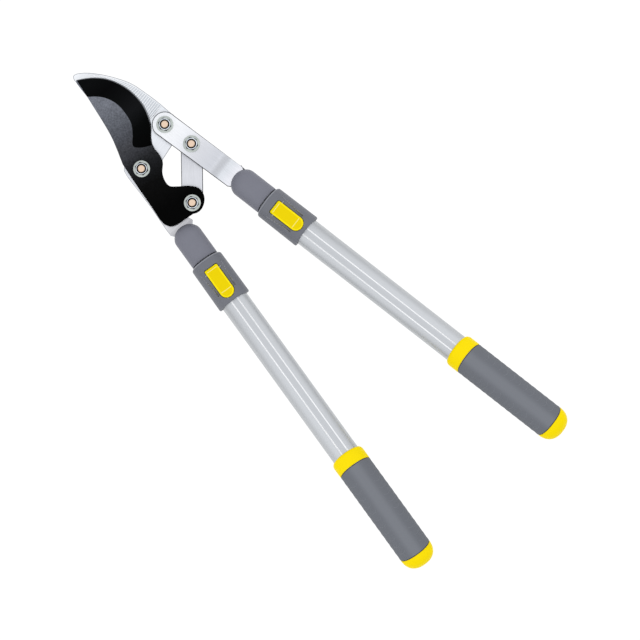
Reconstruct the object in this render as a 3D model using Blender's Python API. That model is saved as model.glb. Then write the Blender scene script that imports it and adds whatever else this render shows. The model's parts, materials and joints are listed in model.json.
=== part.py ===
"""Bypass loppers with toggle leverage and telescopic handles, lying flat and closed.

The hook plate runs straight into the left handle.  The cutting blade turns on the hook
plate at the main pivot.  The right handle's lever plate turns on the hook plate at the
lever pivot, and a link joins it to the blade's tail, so that opening the handles swings
the blade.  Each handle is an inner tube fixed to the head, with an outer tube, collar,
grip and cap that slide back along it and a flip-up lever that locks them.

Lengths are written in millimetres and turned into metres by MM.  The head frame has x
across the tool and y towards the jaw tip.  In a handle frame x runs across the handle
and a station is the distance back along its axis.
"""
import math

import bmesh
import bpy
from mathutils import Matrix, Vector

MM = 0.001
RUNNING_GAP = 0.3

# Where the head frame's origin lies in the model, whose own origin is at the middle of
# the bottom of its bounding box.
HEAD_X = -27.63
HEAD_Y = 201.1

# Pivots of the linkage, in the head frame.
MAIN_PIVOT = (0.0, 0.8)
LEVER_PIVOT = (52.2, 18.2)
LEVER_LINK_PIVOT = (58.5, -17.5)
BLADE_LINK_PIVOT = (14.2, -64.8)

# Handles: mirror images that spread by HANDLE_ANGLE each side of the tool's middle line.
HANDLE_ANGLE = math.radians(8.085)
LEFT_AXIS_X = -2.48
RIGHT_AXIS_X = 57.74
AXIS_Z = 16.0

# Steel plates in two layers: hook and link below, blade and lever above.
PLATE = 4.5
LOWER_Z = AXIS_Z - PLATE / 2
PLATE_GAP = 0.5
UPPER_Z = LOWER_Z + PLATE + PLATE_GAP

# Pivot hardware, M8.
ROUND_SIDES = 18
BOLT_R = 4.0
BOLT_HOLE_R = 4.3
BOLT_HEAD_R = 8.6
BOLT_HEAD_H = 4.6
BOLT_END_Z = 34.3
WASHER_R = 9.3
WASHER_H = 1.6
NUT_CORNER_R = 7.6
NUT_HEX_H = 5.4
NUT_COLLAR_R = 6.7
NUT_COLLAR_H = 2.2
INSERT_OUTER_R = 5.3
OPEN_PIVOT_CLEARANCE = 1.7

# Tang of a plate inside its handle, and the moulded filler and rivets that hold it.
TANG_HALF_WIDTH = 10.0
TANG_END = 150.0
TANG_SHOULDER = 84.0
SHOULDER_STATION = 77.0
HOOK_SHOULDERS = (15.0, 15.0)
LEVER_SHOULDERS = (14.3, 12.9)
RIVET_R = 2.5
RIVET_STATIONS = (100.0, 112.0)

# Handle sections: half width and half height of each oval.
OVAL_POWER = 2.3
OVAL_SIDES = 24
INNER_TUBE = (13.8, 10.0)
INNER_BORE = (12.2, 8.4)
OUTER_TUBE = (16.0, 13.0)
OUTER_BORE = (14.4, 11.4)
FERRULE = (16.25, 13.5)
GRIP = (19.35, 16.0)
RING = (19.5, 16.0)

# Stations along a handle.
FERRULE_NOSE = 75.0
FERRULE_FULL = 90.0
FERRULE_END = 121.35
COLLAR_START = 122.45
COLLAR_END = 177.0
COLLAR_STEP = 147.0
FRONT_SWEEP = 2.65
REAR_SWEEP = 2.3
INNER_TUBE_START = 92.0
INNER_TUBE_END = 490.0
OUTER_TUBE_START = COLLAR_STEP + RUNNING_GAP
OUTER_TUBE_END = 514.0
RING_START = 386.9
RING_END = 402.7
GRIP_END = 514.7
CAP_TIP = 534.0
GRIP_SWEEP = 4.5

# Groove along the top and the bottom of the outer tube, offset towards the other handle.
GROOVE_HALF_WIDTH = 3.9
GROOVE_OFFSET = 0.8
GROOVE_DEPTH = 0.75

# Collar and its flip-up lock lever.
COLLAR_FRONT_HALF = 19.15
COLLAR_REAR_HALF = 19.65
COLLAR_TOP = 18.5
COLLAR_BOTTOM = 16.0
LEVER_HALF_WIDTH = 8.15
LEVER_FRONT = 131.0
LEVER_REAR = 170.0
LEVER_BOTTOM_Z = 29.7
LEVER_TOP_Z = 35.8
LOCK_PIN_STATION = 136.2
LOCK_PIN_Z = 30.6
LOCK_PIN_R = 1.1
LOCK_PIN_HALF = 10.5
LOCK_BARREL_R = 2.4
POCKET_FLOOR_Z = 24.5
LEVER_CORNER = 1.6

# Finger scoops beside the lock lever: reach across, and depth at each station.
SCOOP_NEAR = 7.0
SCOOP_FAR = 13.6
SCOOP_NEAR_Z = 34.4
SCOOP_FAR_Z = 31.3
SCOOP_DEPTHS = ((131.8, 0.2), (146.0, 0.9), (162.6, 1.7))

# Clamp shoe under the lock lever, and the glide at the inner tube's rear end.
SHOE_HALF = 7.6
SHOE_FRONT = 137.0
SHOE_REAR = 146.2
SHOE_BOTTOM_Z = 23.9
SHOE_TOP_Z = 27.8
GLIDE_PLUG = 14.0
GLIDE_LENGTH = 11.0
CAP_PLUG_START = 506.0

# Beyond every section of a handle, for the cutters that pass right through one.
CLEAR_ACROSS = 25.0
CLEAR_Z = 45.0

# Hook plate, in the head frame: outer edge from the tip down, web, spine and jaw edge.
HOOK_OUTER = [(13.9, 121.6), (15.6, 126.0), (18.8, 126.8), (25.9, 122.6), (36.5, 111.5),
              (48.8, 93.2), (57.1, 76.2), (61.8, 55.0), (63.9, 42.1), (65.9, 22.0)]
HOOK_ARM_R = 13.9
HOOK_WEB = [(50.0, -1.8), (24.3, -7.6)]
HOOK_SHANK_INNER = [(14.0, -13.0), (7.0, -26.0), (4.0, -45.0), (0.0, -62.0), (-0.6, -71.5)]
HOOK_SHANK_OUTER = [(-28.0, -72.5), (-26.9, -63.8), (-22.7, -39.2), (-20.4, -20.7),
                    (-17.5, 5.0), (-15.6, 13.0)]
HOOK_JAW = [(-10.5, 18.0), (8.0, 25.0), (24.0, 28.5), (34.5, 37.0), (40.0, 49.0),
            (41.5, 63.0), (40.0, 77.0), (35.5, 90.0), (28.5, 101.0), (20.0, 110.5),
            (14.8, 117.0)]

# Cutting blade, in the head frame.
BLADE_SPINE = [(14.4, 119.8), (13.2, 113.5), (11.8, 99.1), (9.0, 86.0), (5.0, 67.0),
               (0.7, 50.0), (-4.0, 37.0), (-11.6, 18.7)]
BLADE_BACK = [(-13.5, 8.0), (-16.8, -10.0), (-21.5, -38.5), (-24.4, -53.5)]
BLADE_TAIL = [(-24.4, -60.5), (-21.0, -67.0), (-14.5, -70.4), (-4.2, -72.2), (6.5, -74.2),
              (15.0, -76.8), (23.5, -73.8), (29.6, -66.9), (30.4, -57.7), (25.0, -49.2),
              (15.0, -40.4), (9.2, -34.2), (9.0, -27.7), (13.1, -18.5), (22.1, -9.6),
              (25.0, -1.0), (25.4, 6.4)]
BLADE_EDGE = [(27.5, 12.5), (31.8, 18.6), (39.3, 26.4), (45.0, 35.0), (50.0, 49.3),
              (51.3, 62.0), (50.3, 75.0), (46.2, 89.1), (39.7, 100.9), (29.4, 111.8),
              (20.6, 118.2), (16.2, 121.0)]
BLADE_BEVEL = [(26.0, 11.6), (15.0, 18.6), (10.6, 25.2), (18.6, 34.3), (26.1, 44.3),
               (29.4, 57.0), (29.7, 71.5), (25.3, 84.4), (18.8, 92.9), (11.8, 99.1)]
BLADE_EDGE_LAND = 0.4

# Lever plate: straight sides between the rounded end and the handle.
LEVER_END_R = 14.1
LEVER_LEFT_SIDE = [(38.35, 18.0), (54.3, -77.0)]
LEVER_RIGHT_SIDE = [(81.3, -76.0), (66.5, 18.0)]
JOGGLE_START = 57.0
JOGGLE_LENGTH = 8.0
JOGGLE_STEPS = 5
LINK_HALF_WIDTH = 11.9

# Colours as linear RGB, with roughness and metallic value.
FINISHES = {
    "bright_steel": ((0.70, 0.72, 0.74), 0.32, 1.0),
    "coated_steel": ((0.02, 0.02, 0.022), 0.38, 0.0),
    "zinc_steel": ((0.66, 0.67, 0.66), 0.28, 1.0),
    "anodised_aluminium": ((0.60, 0.62, 0.64), 0.35, 1.0),
    "grey_polymer": ((0.17, 0.18, 0.21), 0.55, 0.0),
    "grey_rubber": ((0.165, 0.175, 0.195), 0.75, 0.0),
    "yellow_polymer": ((0.95, 0.76, 0.01), 0.40, 0.0),
    "black_polymer": ((0.01, 0.01, 0.01), 0.50, 0.0),
    "natural_nylon": ((0.72, 0.70, 0.64), 0.50, 0.0),
}


# ---------------------------------------------------------------- scene and materials

def clear_scene():
    """Remove every object that is already in the scene."""
    for thing in list(bpy.data.objects):
        bpy.data.objects.remove(thing, do_unlink=True)


def make_materials():
    """One plain material for each finish."""
    made = {}
    for name, (colour, roughness, metallic) in FINISHES.items():
        material = bpy.data.materials.new(name)
        material.use_nodes = True
        shader = material.node_tree.nodes["Principled BSDF"]
        shader.inputs["Base Color"].default_value = (*colour, 1.0)
        shader.inputs["Roughness"].default_value = roughness
        shader.inputs["Metallic"].default_value = metallic
        material.diffuse_color = (*colour, 1.0)
        made[name] = material
    return made


def make_empty(name, place, turn=0.0, parent=None):
    """An empty at a place given in its parent's frame, turned about z."""
    empty = bpy.data.objects.new(name, None)
    bpy.context.scene.collection.objects.link(empty)
    empty.parent = parent
    empty.location = Vector(place) * MM
    empty.rotation_euler = (0.0, 0.0, turn)
    return empty


# ---------------------------------------------------------------- outlines

def curve_through(points, steps=4):
    """A smooth centripetal curve through the points, steps pieces between each two."""
    first = Vector(points[0]) * 2 - Vector(points[1])
    last = Vector(points[-1]) * 2 - Vector(points[-2])
    knots = [first] + [Vector(point) for point in points] + [last]
    places = []
    for before, start, end, after in zip(knots, knots[1:], knots[2:], knots[3:]):
        t1 = math.sqrt((start - before).length)
        t2 = t1 + math.sqrt((end - start).length)
        t3 = t2 + math.sqrt((after - end).length)
        for step in range(steps):
            t = t1 + (t2 - t1) * step / steps
            a1 = before * ((t1 - t) / t1) + start * (t / t1)
            a2 = start * ((t2 - t) / (t2 - t1)) + end * ((t - t1) / (t2 - t1))
            a3 = end * ((t3 - t) / (t3 - t2)) + after * ((t - t2) / (t3 - t2))
            b1 = a1 * ((t2 - t) / t2) + a2 * (t / t2)
            b2 = a2 * ((t3 - t) / (t3 - t1)) + a3 * ((t - t1) / (t3 - t1))
            place = b1 * ((t2 - t) / (t2 - t1)) + b2 * ((t - t1) / (t2 - t1))
            places.append(tuple(place))
    places.append(tuple(points[-1]))
    return places


def arc(centre, radius, start_deg, end_deg, steps):
    """Points on a round arc, ends included."""
    points = []
    for step in range(steps + 1):
        angle = math.radians(start_deg + (end_deg - start_deg) * step / steps)
        points.append((centre[0] + radius * math.cos(angle),
                       centre[1] + radius * math.sin(angle)))
    return points


def handle_point(axis_x, spread, across, station):
    """Head-frame place of a point given across and along one handle's axis."""
    along = (math.sin(spread), -math.cos(spread))
    right = (math.cos(spread), math.sin(spread))
    return (axis_x + along[0] * station + right[0] * across,
            along[1] * station + right[1] * across)


def tang_outline(axis_x, spread, shoulders):
    """The plate's end inside a handle: shoulders, neck and tang, left side first."""
    neck = [(TANG_HALF_WIDTH + 2.0, TANG_SHOULDER - 3.2), (TANG_HALF_WIDTH, TANG_SHOULDER),
            (TANG_HALF_WIDTH, TANG_END - 3.0), (TANG_HALF_WIDTH - 3.0, TANG_END)]
    left = [(-shoulders[0], SHOULDER_STATION)] + [(-across, station) for across, station in neck]
    right = neck[::-1] + [(shoulders[1], SHOULDER_STATION)]
    return [handle_point(axis_x, spread, across, station) for across, station in left + right]


# ---------------------------------------------------------------- solids

def from_bmesh(name, work, material, parent, pivot=(0.0, 0.0, 0.0)):
    """A named object from a mesh in millimetres, with its own origin at pivot."""
    bmesh.ops.recalc_face_normals(work, faces=work.faces)
    bmesh.ops.transform(work, matrix=Matrix.Scale(MM, 4) @ Matrix.Translation(-Vector(pivot)),
                        verts=work.verts)
    mesh = bpy.data.meshes.new(name)
    work.to_mesh(mesh)
    work.free()
    mesh.shade_smooth()
    mesh.set_sharp_from_angle(angle=math.radians(35.0))
    piece = bpy.data.objects.new(name, mesh)
    bpy.context.scene.collection.objects.link(piece)
    piece.data.materials.append(material)
    piece.parent = parent
    piece.location = Vector(pivot) * MM
    return piece


def add_loops(work, loops, cap_ends=True, close=False):
    """Join loops of equal length by quads; cap the ends, or close the last on the first."""
    rings = [[work.verts.new(point) for point in loop] for loop in loops]
    count = len(rings[0])
    pairs = list(zip(rings, rings[1:]))
    if close:
        pairs.append((rings[-1], rings[0]))
    for lower, upper in pairs:
        for index in range(count):
            after = (index + 1) % count
            work.faces.new((lower[index], lower[after], upper[after], upper[index]))
    if cap_ends and not close:
        work.faces.new(rings[0][::-1])
        work.faces.new(rings[-1])


def circle_loop(radius, height):
    """A level circle about the frame's own z axis."""
    circle = arc((0.0, 0.0), radius, 0.0, 360.0 - 360.0 / ROUND_SIDES, ROUND_SIDES - 1)
    return [(x, y, height) for x, y in circle]


def prism(outline, bottom, top):
    """An upright prism over an outline."""
    work = bmesh.new()
    add_loops(work, [[(x, y, bottom) for x, y in outline], [(x, y, top) for x, y in outline]])
    return work


def cylinder(radius, bottom, top, sides=20, centre=(0.0, 0.0)):
    """An upright many-sided cylinder."""
    return prism(arc(centre, radius, 0.0, 360.0 - 360.0 / sides, sides - 1), bottom, top)


def across_cylinder(radius, half, station, height, sides=16):
    """A cylinder that lies across a handle."""
    work = bmesh.new()
    circle = arc((-station, height), radius, 0.0, 360.0 - 360.0 / sides, sides - 1)
    add_loops(work, [[(side * half, y, z) for y, z in circle] for side in (-1.0, 1.0)])
    return work


def oval_loop(station, half_width, top, bottom=None, sweep=0.0, power=OVAL_POWER):
    """One oval section; sweep moves its top and bottom towards the head, or back if < 0."""
    bottom = top if bottom is None else bottom
    soften = 0.15
    loop = []
    for index in range(OVAL_SIDES):
        angle = 2.0 * math.pi * index / OVAL_SIDES
        across = math.copysign(abs(math.cos(angle)) ** (2.0 / power), math.cos(angle))
        rise = math.copysign(abs(math.sin(angle)) ** (2.0 / power), math.sin(angle))
        height = rise * (top if rise > 0.0 else bottom)
        share = (math.hypot(rise, soften) - soften) / (math.hypot(1.0, soften) - soften)
        loop.append((half_width * across, -(station - sweep * share), AXIS_Z + height))
    return loop


def oval_pipe(first, last, outside, bore):
    """A straight oval tube."""
    work = bmesh.new()
    add_loops(work, [oval_loop(first, *outside), oval_loop(last, *outside),
                     oval_loop(last, *bore), oval_loop(first, *bore)], close=True)
    return work


def oval_bar(first, last, section):
    """A straight capped oval bar, used for a plug and to cut a bore."""
    work = bmesh.new()
    add_loops(work, [oval_loop(first, *section), oval_loop(last, *section)])
    return work


def subtract(piece, cutters):
    """Cut each closed mesh in cutters, given in the piece's parent frame, from the piece."""
    for number, work in enumerate(cutters):
        tool = from_bmesh(f"cutter_{piece.name}_{number}", work, piece.data.materials[0],
                          piece.parent)
        combine(piece, tool, "DIFFERENCE")
    return piece


def combine(piece, tool, operation):
    """Apply one exact Boolean and remove the tool."""
    tool.hide_render = True
    tool.display_type = "WIRE"
    modifier = piece.modifiers.new("cut", "BOOLEAN")
    modifier.operation = operation
    modifier.solver = "EXACT"
    modifier.object = tool
    bpy.context.view_layer.update()
    graph = bpy.context.evaluated_depsgraph_get()
    mesh = bpy.data.meshes.new_from_object(piece.evaluated_get(graph))
    piece.modifiers.clear()
    piece.data = mesh
    bpy.data.objects.remove(tool, do_unlink=True)


def pivot_hole(pivot, radius=BOLT_HOLE_R):
    """A bolt's hole through every plate."""
    return cylinder(radius, 0.0, CLEAR_Z, centre=pivot)


def slot_plan(half, front, rear):
    """A rectangle across a handle, between two stations."""
    return [(half, -front), (-half, -front), (-half, -rear), (half, -rear)]


# ---------------------------------------------------------------- head plates

def build_hook(material, parent):
    """The hook plate: jaw, arm round the lever pivot, web, shank and tang in one outline."""
    arm = arc(LEVER_PIVOT, HOOK_ARM_R, 8.0, -68.0, 7)
    tang = tang_outline(LEFT_AXIS_X, -HANDLE_ANGLE, HOOK_SHOULDERS)
    outline = curve_through(HOOK_OUTER, 3) + arm + HOOK_WEB
    outline += curve_through(HOOK_SHANK_INNER, 2) + tang[::-1]
    outline += curve_through(HOOK_SHANK_OUTER, 2) + curve_through(HOOK_JAW, 3)
    work = prism(outline, LOWER_Z, LOWER_Z + PLATE)
    hook = from_bmesh("hook_plate", work, material, parent)
    holes = [pivot_hole(MAIN_PIVOT), pivot_hole(LEVER_PIVOT)]
    holes += [rivet_hole(LEFT_AXIS_X, -HANDLE_ANGLE, station) for station in RIVET_STATIONS]
    return subtract(hook, holes)


def rivet_hole(axis_x, spread, station):
    """A rivet's hole through a plate, in the head frame."""
    centre = handle_point(axis_x, spread, 0.0, station)
    return cylinder(RIVET_R + RUNNING_GAP, 0.0, CLEAR_Z, sides=12, centre=centre)


def build_blade(material, parent):
    """The blade: flat below, its upper face ground down to the cutting edge."""
    low = UPPER_Z
    top = UPPER_Z + PLATE
    edge = curve_through(BLADE_EDGE, 3)
    bevel = curve_through(BLADE_BEVEL, 3)
    tip_spine = curve_through(BLADE_SPINE[:3], 3)[::-1]
    spine = curve_through(BLADE_SPINE[2:], 3)
    back = spine + curve_through(BLADE_BACK, 1) + curve_through(BLADE_TAIL, 3)
    work = bmesh.new()
    edge_low = [work.verts.new((x, y, low)) for x, y in edge]
    edge_high = [work.verts.new((x, y, low + BLADE_EDGE_LAND)) for x, y in edge]
    bevel_high = [work.verts.new((x, y, top)) for x, y in bevel]
    tip_low, tip_high = [], []
    for index, (x, y) in enumerate(tip_spine[1:], start=1):
        drop = (PLATE - BLADE_EDGE_LAND) * index / len(tip_spine)
        tip_low.append(work.verts.new((x, y, low)))
        tip_high.append(work.verts.new((x, y, top - drop)))
    back_low = [work.verts.new((x, y, low)) for x, y in back]
    back_high = [work.verts.new((x, y, top)) for x, y in back[1:]]
    back_high.insert(0, bevel_high[-1])
    work.faces.new((edge_low + tip_low[::-1] + back_low)[::-1])
    work.faces.new(back_high + bevel_high[:-1])
    around_low = back_low + edge_low + tip_low[::-1]
    around_high = back_high + edge_high + tip_high[::-1]
    count = len(around_low)
    for index in range(count):
        after = (index + 1) % count
        work.faces.new((around_low[index], around_low[after],
                        around_high[after], around_high[index]))
    ground = bevel_high + tip_high
    stitch(work, ground, edge_high)
    work.faces.new((back_high[-1], edge_high[0], bevel_high[0]))
    blade = from_bmesh("cutting_blade", work, material, parent)
    return subtract(blade, [pivot_hole(MAIN_PIVOT), pivot_hole(BLADE_LINK_PIVOT)])


def stitch(work, inner, outer):
    """Fill between two open chains of vertices with triangles, walking both together."""
    near, far = 0, 0
    while near < len(inner) - 1 or far < len(outer) - 1:
        near_share = (near + 1) / (len(inner) - 1)
        far_share = (far + 1) / (len(outer) - 1)
        if far == len(outer) - 1 or (near < len(inner) - 1 and near_share <= far_share):
            work.faces.new((inner[near], outer[far], inner[near + 1]))
            near += 1
        else:
            work.faces.new((inner[near], outer[far], outer[far + 1]))
            far += 1


def build_lever(material, parent):
    """The lever plate, set down by one plate and gap to meet the handle's middle plane."""
    end = arc(LEVER_PIVOT, LEVER_END_R, 0.0, 180.0, 14)
    tang = tang_outline(RIGHT_AXIS_X, HANDLE_ANGLE, LEVER_SHOULDERS)
    outline = end + LEVER_LEFT_SIDE[1:] + tang + LEVER_RIGHT_SIDE[:1]
    work = prism(outline, UPPER_Z, UPPER_Z + PLATE)
    along = Vector((math.sin(HANDLE_ANGLE), -math.cos(HANDLE_ANGLE), 0.0))
    origin = Vector((RIGHT_AXIS_X, 0.0, 0.0))
    for step in range(JOGGLE_STEPS + 1):
        station = JOGGLE_START + JOGGLE_LENGTH * step / JOGGLE_STEPS
        bmesh.ops.bisect_plane(work, geom=work.verts[:] + work.edges[:] + work.faces[:],
                               plane_co=origin + along * station, plane_no=along)
    for vert in work.verts:
        share = ((vert.co - origin).dot(along) - JOGGLE_START) / JOGGLE_LENGTH
        share = min(max(share, 0.0), 1.0)
        vert.co.z -= (PLATE + PLATE_GAP) * share * share * (3.0 - 2.0 * share)
    lever = from_bmesh("lever_plate", work, material, parent)
    holes = [pivot_hole(LEVER_PIVOT), pivot_hole(LEVER_LINK_PIVOT)]
    holes += [rivet_hole(RIGHT_AXIS_X, HANDLE_ANGLE, station) for station in RIVET_STATIONS]
    return subtract(lever, holes)


def build_link(material, parent):
    """The toggle link; its blade end has an oversize hole, where the loop is opened."""
    run = Vector(BLADE_LINK_PIVOT) - Vector(LEVER_LINK_PIVOT)
    heading = math.degrees(math.atan2(run.y, run.x))
    outline = arc(LEVER_LINK_PIVOT, LINK_HALF_WIDTH, heading + 90.0, heading + 270.0, 12)
    outline += arc(BLADE_LINK_PIVOT, LINK_HALF_WIDTH, heading - 90.0, heading + 90.0, 12)
    work = prism(outline, LOWER_Z, LOWER_Z + PLATE)
    link = from_bmesh("toggle_link", work, material, parent)
    return subtract(link, [pivot_hole(LEVER_LINK_PIVOT),
                           pivot_hole(BLADE_LINK_PIVOT, BOLT_R + OPEN_PIVOT_CLEARANCE)])


def build_pivot(name, pivot, materials, parent):
    """Bolt from below, with a washer, a lock nut and its nylon insert on top."""
    frame = make_empty(f"{name}_pivot_frame", (*pivot, 0.0), parent=parent)
    head_top = LOWER_Z - RUNNING_GAP
    bolt_loops = []
    for radius, height in ((BOLT_HEAD_R - 1.2, head_top - BOLT_HEAD_H),
                           (BOLT_HEAD_R, head_top - BOLT_HEAD_H + 1.6), (BOLT_HEAD_R, head_top),
                           (BOLT_R, head_top), (BOLT_R, BOLT_END_Z - 0.7),
                           (BOLT_R - 0.7, BOLT_END_Z)):
        bolt_loops.append(circle_loop(radius, height))
    bolt = bmesh.new()
    add_loops(bolt, bolt_loops)
    zinc = materials["zinc_steel"]
    from_bmesh(f"{name}_bolt", bolt, zinc, frame)

    washer_z = UPPER_Z + PLATE + RUNNING_GAP
    from_bmesh(f"{name}_washer", round_ring(BOLT_HOLE_R, WASHER_R, washer_z, washer_z + WASHER_H),
               zinc, frame)

    nut_z = washer_z + WASHER_H + RUNNING_GAP
    seat = nut_z + NUT_HEX_H
    collar_top = seat + NUT_COLLAR_H
    insert_seat_r = INSERT_OUTER_R + 0.2
    nut_work = bmesh.new()
    add_loops(nut_work, [nut_section(*section) for section in (
        (NUT_CORNER_R, 0.0, nut_z), (NUT_CORNER_R, 0.0, seat - 0.8),
        (NUT_COLLAR_R, 1.0, seat), (NUT_COLLAR_R, 1.0, collar_top - 0.8),
        (NUT_COLLAR_R - 0.8, 1.0, collar_top), (insert_seat_r, 1.0, collar_top),
        (insert_seat_r, 1.0, seat), (BOLT_HOLE_R, 1.0, seat), (BOLT_HOLE_R, 1.0, nut_z))],
              close=True)
    from_bmesh(f"{name}_nut", nut_work, zinc, frame)
    from_bmesh(f"{name}_nut_insert",
               round_ring(BOLT_HOLE_R, INSERT_OUTER_R, seat + 0.2, collar_top - 0.3),
               materials["black_polymer"], frame)


def round_ring(inner, outer, bottom, top):
    """A flat ring: a washer or an insert."""
    work = bmesh.new()
    loops = []
    for radius, height in ((inner, bottom), (outer, bottom), (outer, top), (inner, top)):
        loops.append(circle_loop(radius, height))
    add_loops(work, loops, close=True)
    return work


def nut_section(corner, roundness, height, sides=ROUND_SIDES):
    """A section of the nut: a hexagon at roundness 0, a circle at roundness 1."""
    points = []
    for index in range(sides):
        angle = 2.0 * math.pi * index / sides
        from_flat = (angle % (math.pi / 3.0)) - math.pi / 6.0
        hexagon = corner * math.cos(math.pi / 6.0) / math.cos(from_flat)
        radius = hexagon + (corner - hexagon) * roundness
        points.append((radius * math.cos(angle), radius * math.sin(angle), height))
    return points


# ---------------------------------------------------------------- fixed part of a handle

def build_ferrule(side, material, frame):
    """The moulded ferrule: a round nose, slotted for the plate, bored for the inner tube."""
    half_width, half_height = FERRULE
    loops = []
    for share in (0.04, 0.14, 0.30, 0.50, 0.72, 1.0):
        scale = math.sqrt(1.0 - (1.0 - share) ** 2)
        station = FERRULE_NOSE + (FERRULE_FULL - FERRULE_NOSE) * share
        loops.append(oval_loop(station, half_width * scale, half_height * scale))
    loops.append(oval_loop(FERRULE_END - 3.0, half_width, half_height))
    loops.append(oval_loop(FERRULE_END, half_width, half_height, sweep=FRONT_SWEEP))
    bore_width = INNER_TUBE[0] + RUNNING_GAP
    bore_height = INNER_TUBE[1] + RUNNING_GAP
    loops.append(oval_loop(FERRULE_END, bore_width, bore_height, sweep=FRONT_SWEEP))
    loops.append(oval_loop(INNER_TUBE_START - RUNNING_GAP, bore_width, bore_height))
    work = bmesh.new()
    add_loops(work, loops)
    ferrule = from_bmesh(f"{side}_ferrule", work, material, frame)
    slot_low = LOWER_Z - RUNNING_GAP
    slot_high = LOWER_Z + PLATE + RUNNING_GAP
    mouth = slot_plan(CLEAR_ACROSS, FERRULE_NOSE - 15.0, TANG_SHOULDER)
    neck = slot_plan(TANG_HALF_WIDTH + RUNNING_GAP, TANG_SHOULDER - 4.0,
                     INNER_TUBE_START + 3.0)
    return subtract(ferrule, [prism(mouth, slot_low, slot_high),
                              prism(neck, slot_low, slot_high)])


def build_inner_parts(side, materials, frame):
    """Inner tube, tang filler, rivets, stop ring and glide, all fixed to the plate."""
    tube = oval_pipe(INNER_TUBE_START, INNER_TUBE_END, INNER_TUBE, INNER_BORE)
    tube_piece = from_bmesh(f"{side}_inner_tube", tube, materials["anodised_aluminium"], frame)
    filler_section = [size - RUNNING_GAP for size in INNER_BORE]
    filler = from_bmesh(f"{side}_tang_filler",
                        oval_bar(INNER_TUBE_START + 1.0, TANG_END - 4.0, filler_section),
                        materials["black_polymer"], frame)
    slot = slot_plan(TANG_HALF_WIDTH + RUNNING_GAP, TANG_SHOULDER, TANG_END)
    subtract(filler, [prism(slot, LOWER_Z - RUNNING_GAP, LOWER_Z + PLATE + RUNNING_GAP)])
    for number, station in enumerate(RIVET_STATIONS, start=1):
        centre = (0.0, -station)
        half = INNER_TUBE[1] - 0.4
        from_bmesh(f"{side}_tang_rivet_{number}",
                   cylinder(RIVET_R, AXIS_Z - half, AXIS_Z + half, 12, centre),
                   materials["zinc_steel"], frame)
        for piece in (tube_piece, filler):
            subtract(piece, [cylinder(RIVET_R + RUNNING_GAP, 0.0, CLEAR_Z, 12, centre)])

    ring_front = FERRULE_END + RUNNING_GAP
    ring_back = COLLAR_START - RUNNING_GAP
    outer = (FERRULE[0] - 0.9, FERRULE[1] - 0.9)
    inner = (INNER_TUBE[0] + RUNNING_GAP, INNER_TUBE[1] + RUNNING_GAP)
    ring = bmesh.new()
    add_loops(ring, [oval_loop(station, *section, sweep=FRONT_SWEEP)
                     for station, section in ((ring_front, outer), (ring_back, outer),
                                              (ring_back, inner), (ring_front, inner))],
              close=True)
    from_bmesh(f"{side}_stop_ring", ring, materials["black_polymer"], frame)

    glide_section = [size - RUNNING_GAP for size in OUTER_BORE]
    glide = bmesh.new()
    seat = INNER_TUBE_END + RUNNING_GAP
    add_loops(glide, [oval_loop(INNER_TUBE_END - GLIDE_PLUG, *filler_section),
                      oval_loop(seat, *filler_section), oval_loop(seat, *glide_section),
                      oval_loop(seat + GLIDE_LENGTH, *glide_section)])
    from_bmesh(f"{side}_glide", glide, materials["natural_nylon"], frame)


# ---------------------------------------------------------------- sliding part of a handle

def build_outer_tube(side, inward, material, frame):
    """The outer tube, with a groove above and below on its inner side."""
    tube = oval_pipe(OUTER_TUBE_START, OUTER_TUBE_END, OUTER_TUBE, OUTER_BORE)
    piece = from_bmesh(f"{side}_outer_tube", tube, material, frame)
    low = inward * GROOVE_OFFSET - GROOVE_HALF_WIDTH
    high = inward * GROOVE_OFFSET + GROOVE_HALF_WIDTH
    outline = [(low, -OUTER_TUBE_END - 5.0), (high, -OUTER_TUBE_END - 5.0),
               (high, -OUTER_TUBE_START + 5.0), (low, -OUTER_TUBE_START + 5.0)]
    floor = OUTER_TUBE[1] - GROOVE_DEPTH
    clear = OUTER_TUBE[1] + 7.0
    return subtract(piece, [prism(outline, AXIS_Z + floor, AXIS_Z + clear),
                            prism(outline, AXIS_Z - clear, AXIS_Z - floor)])


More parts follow.
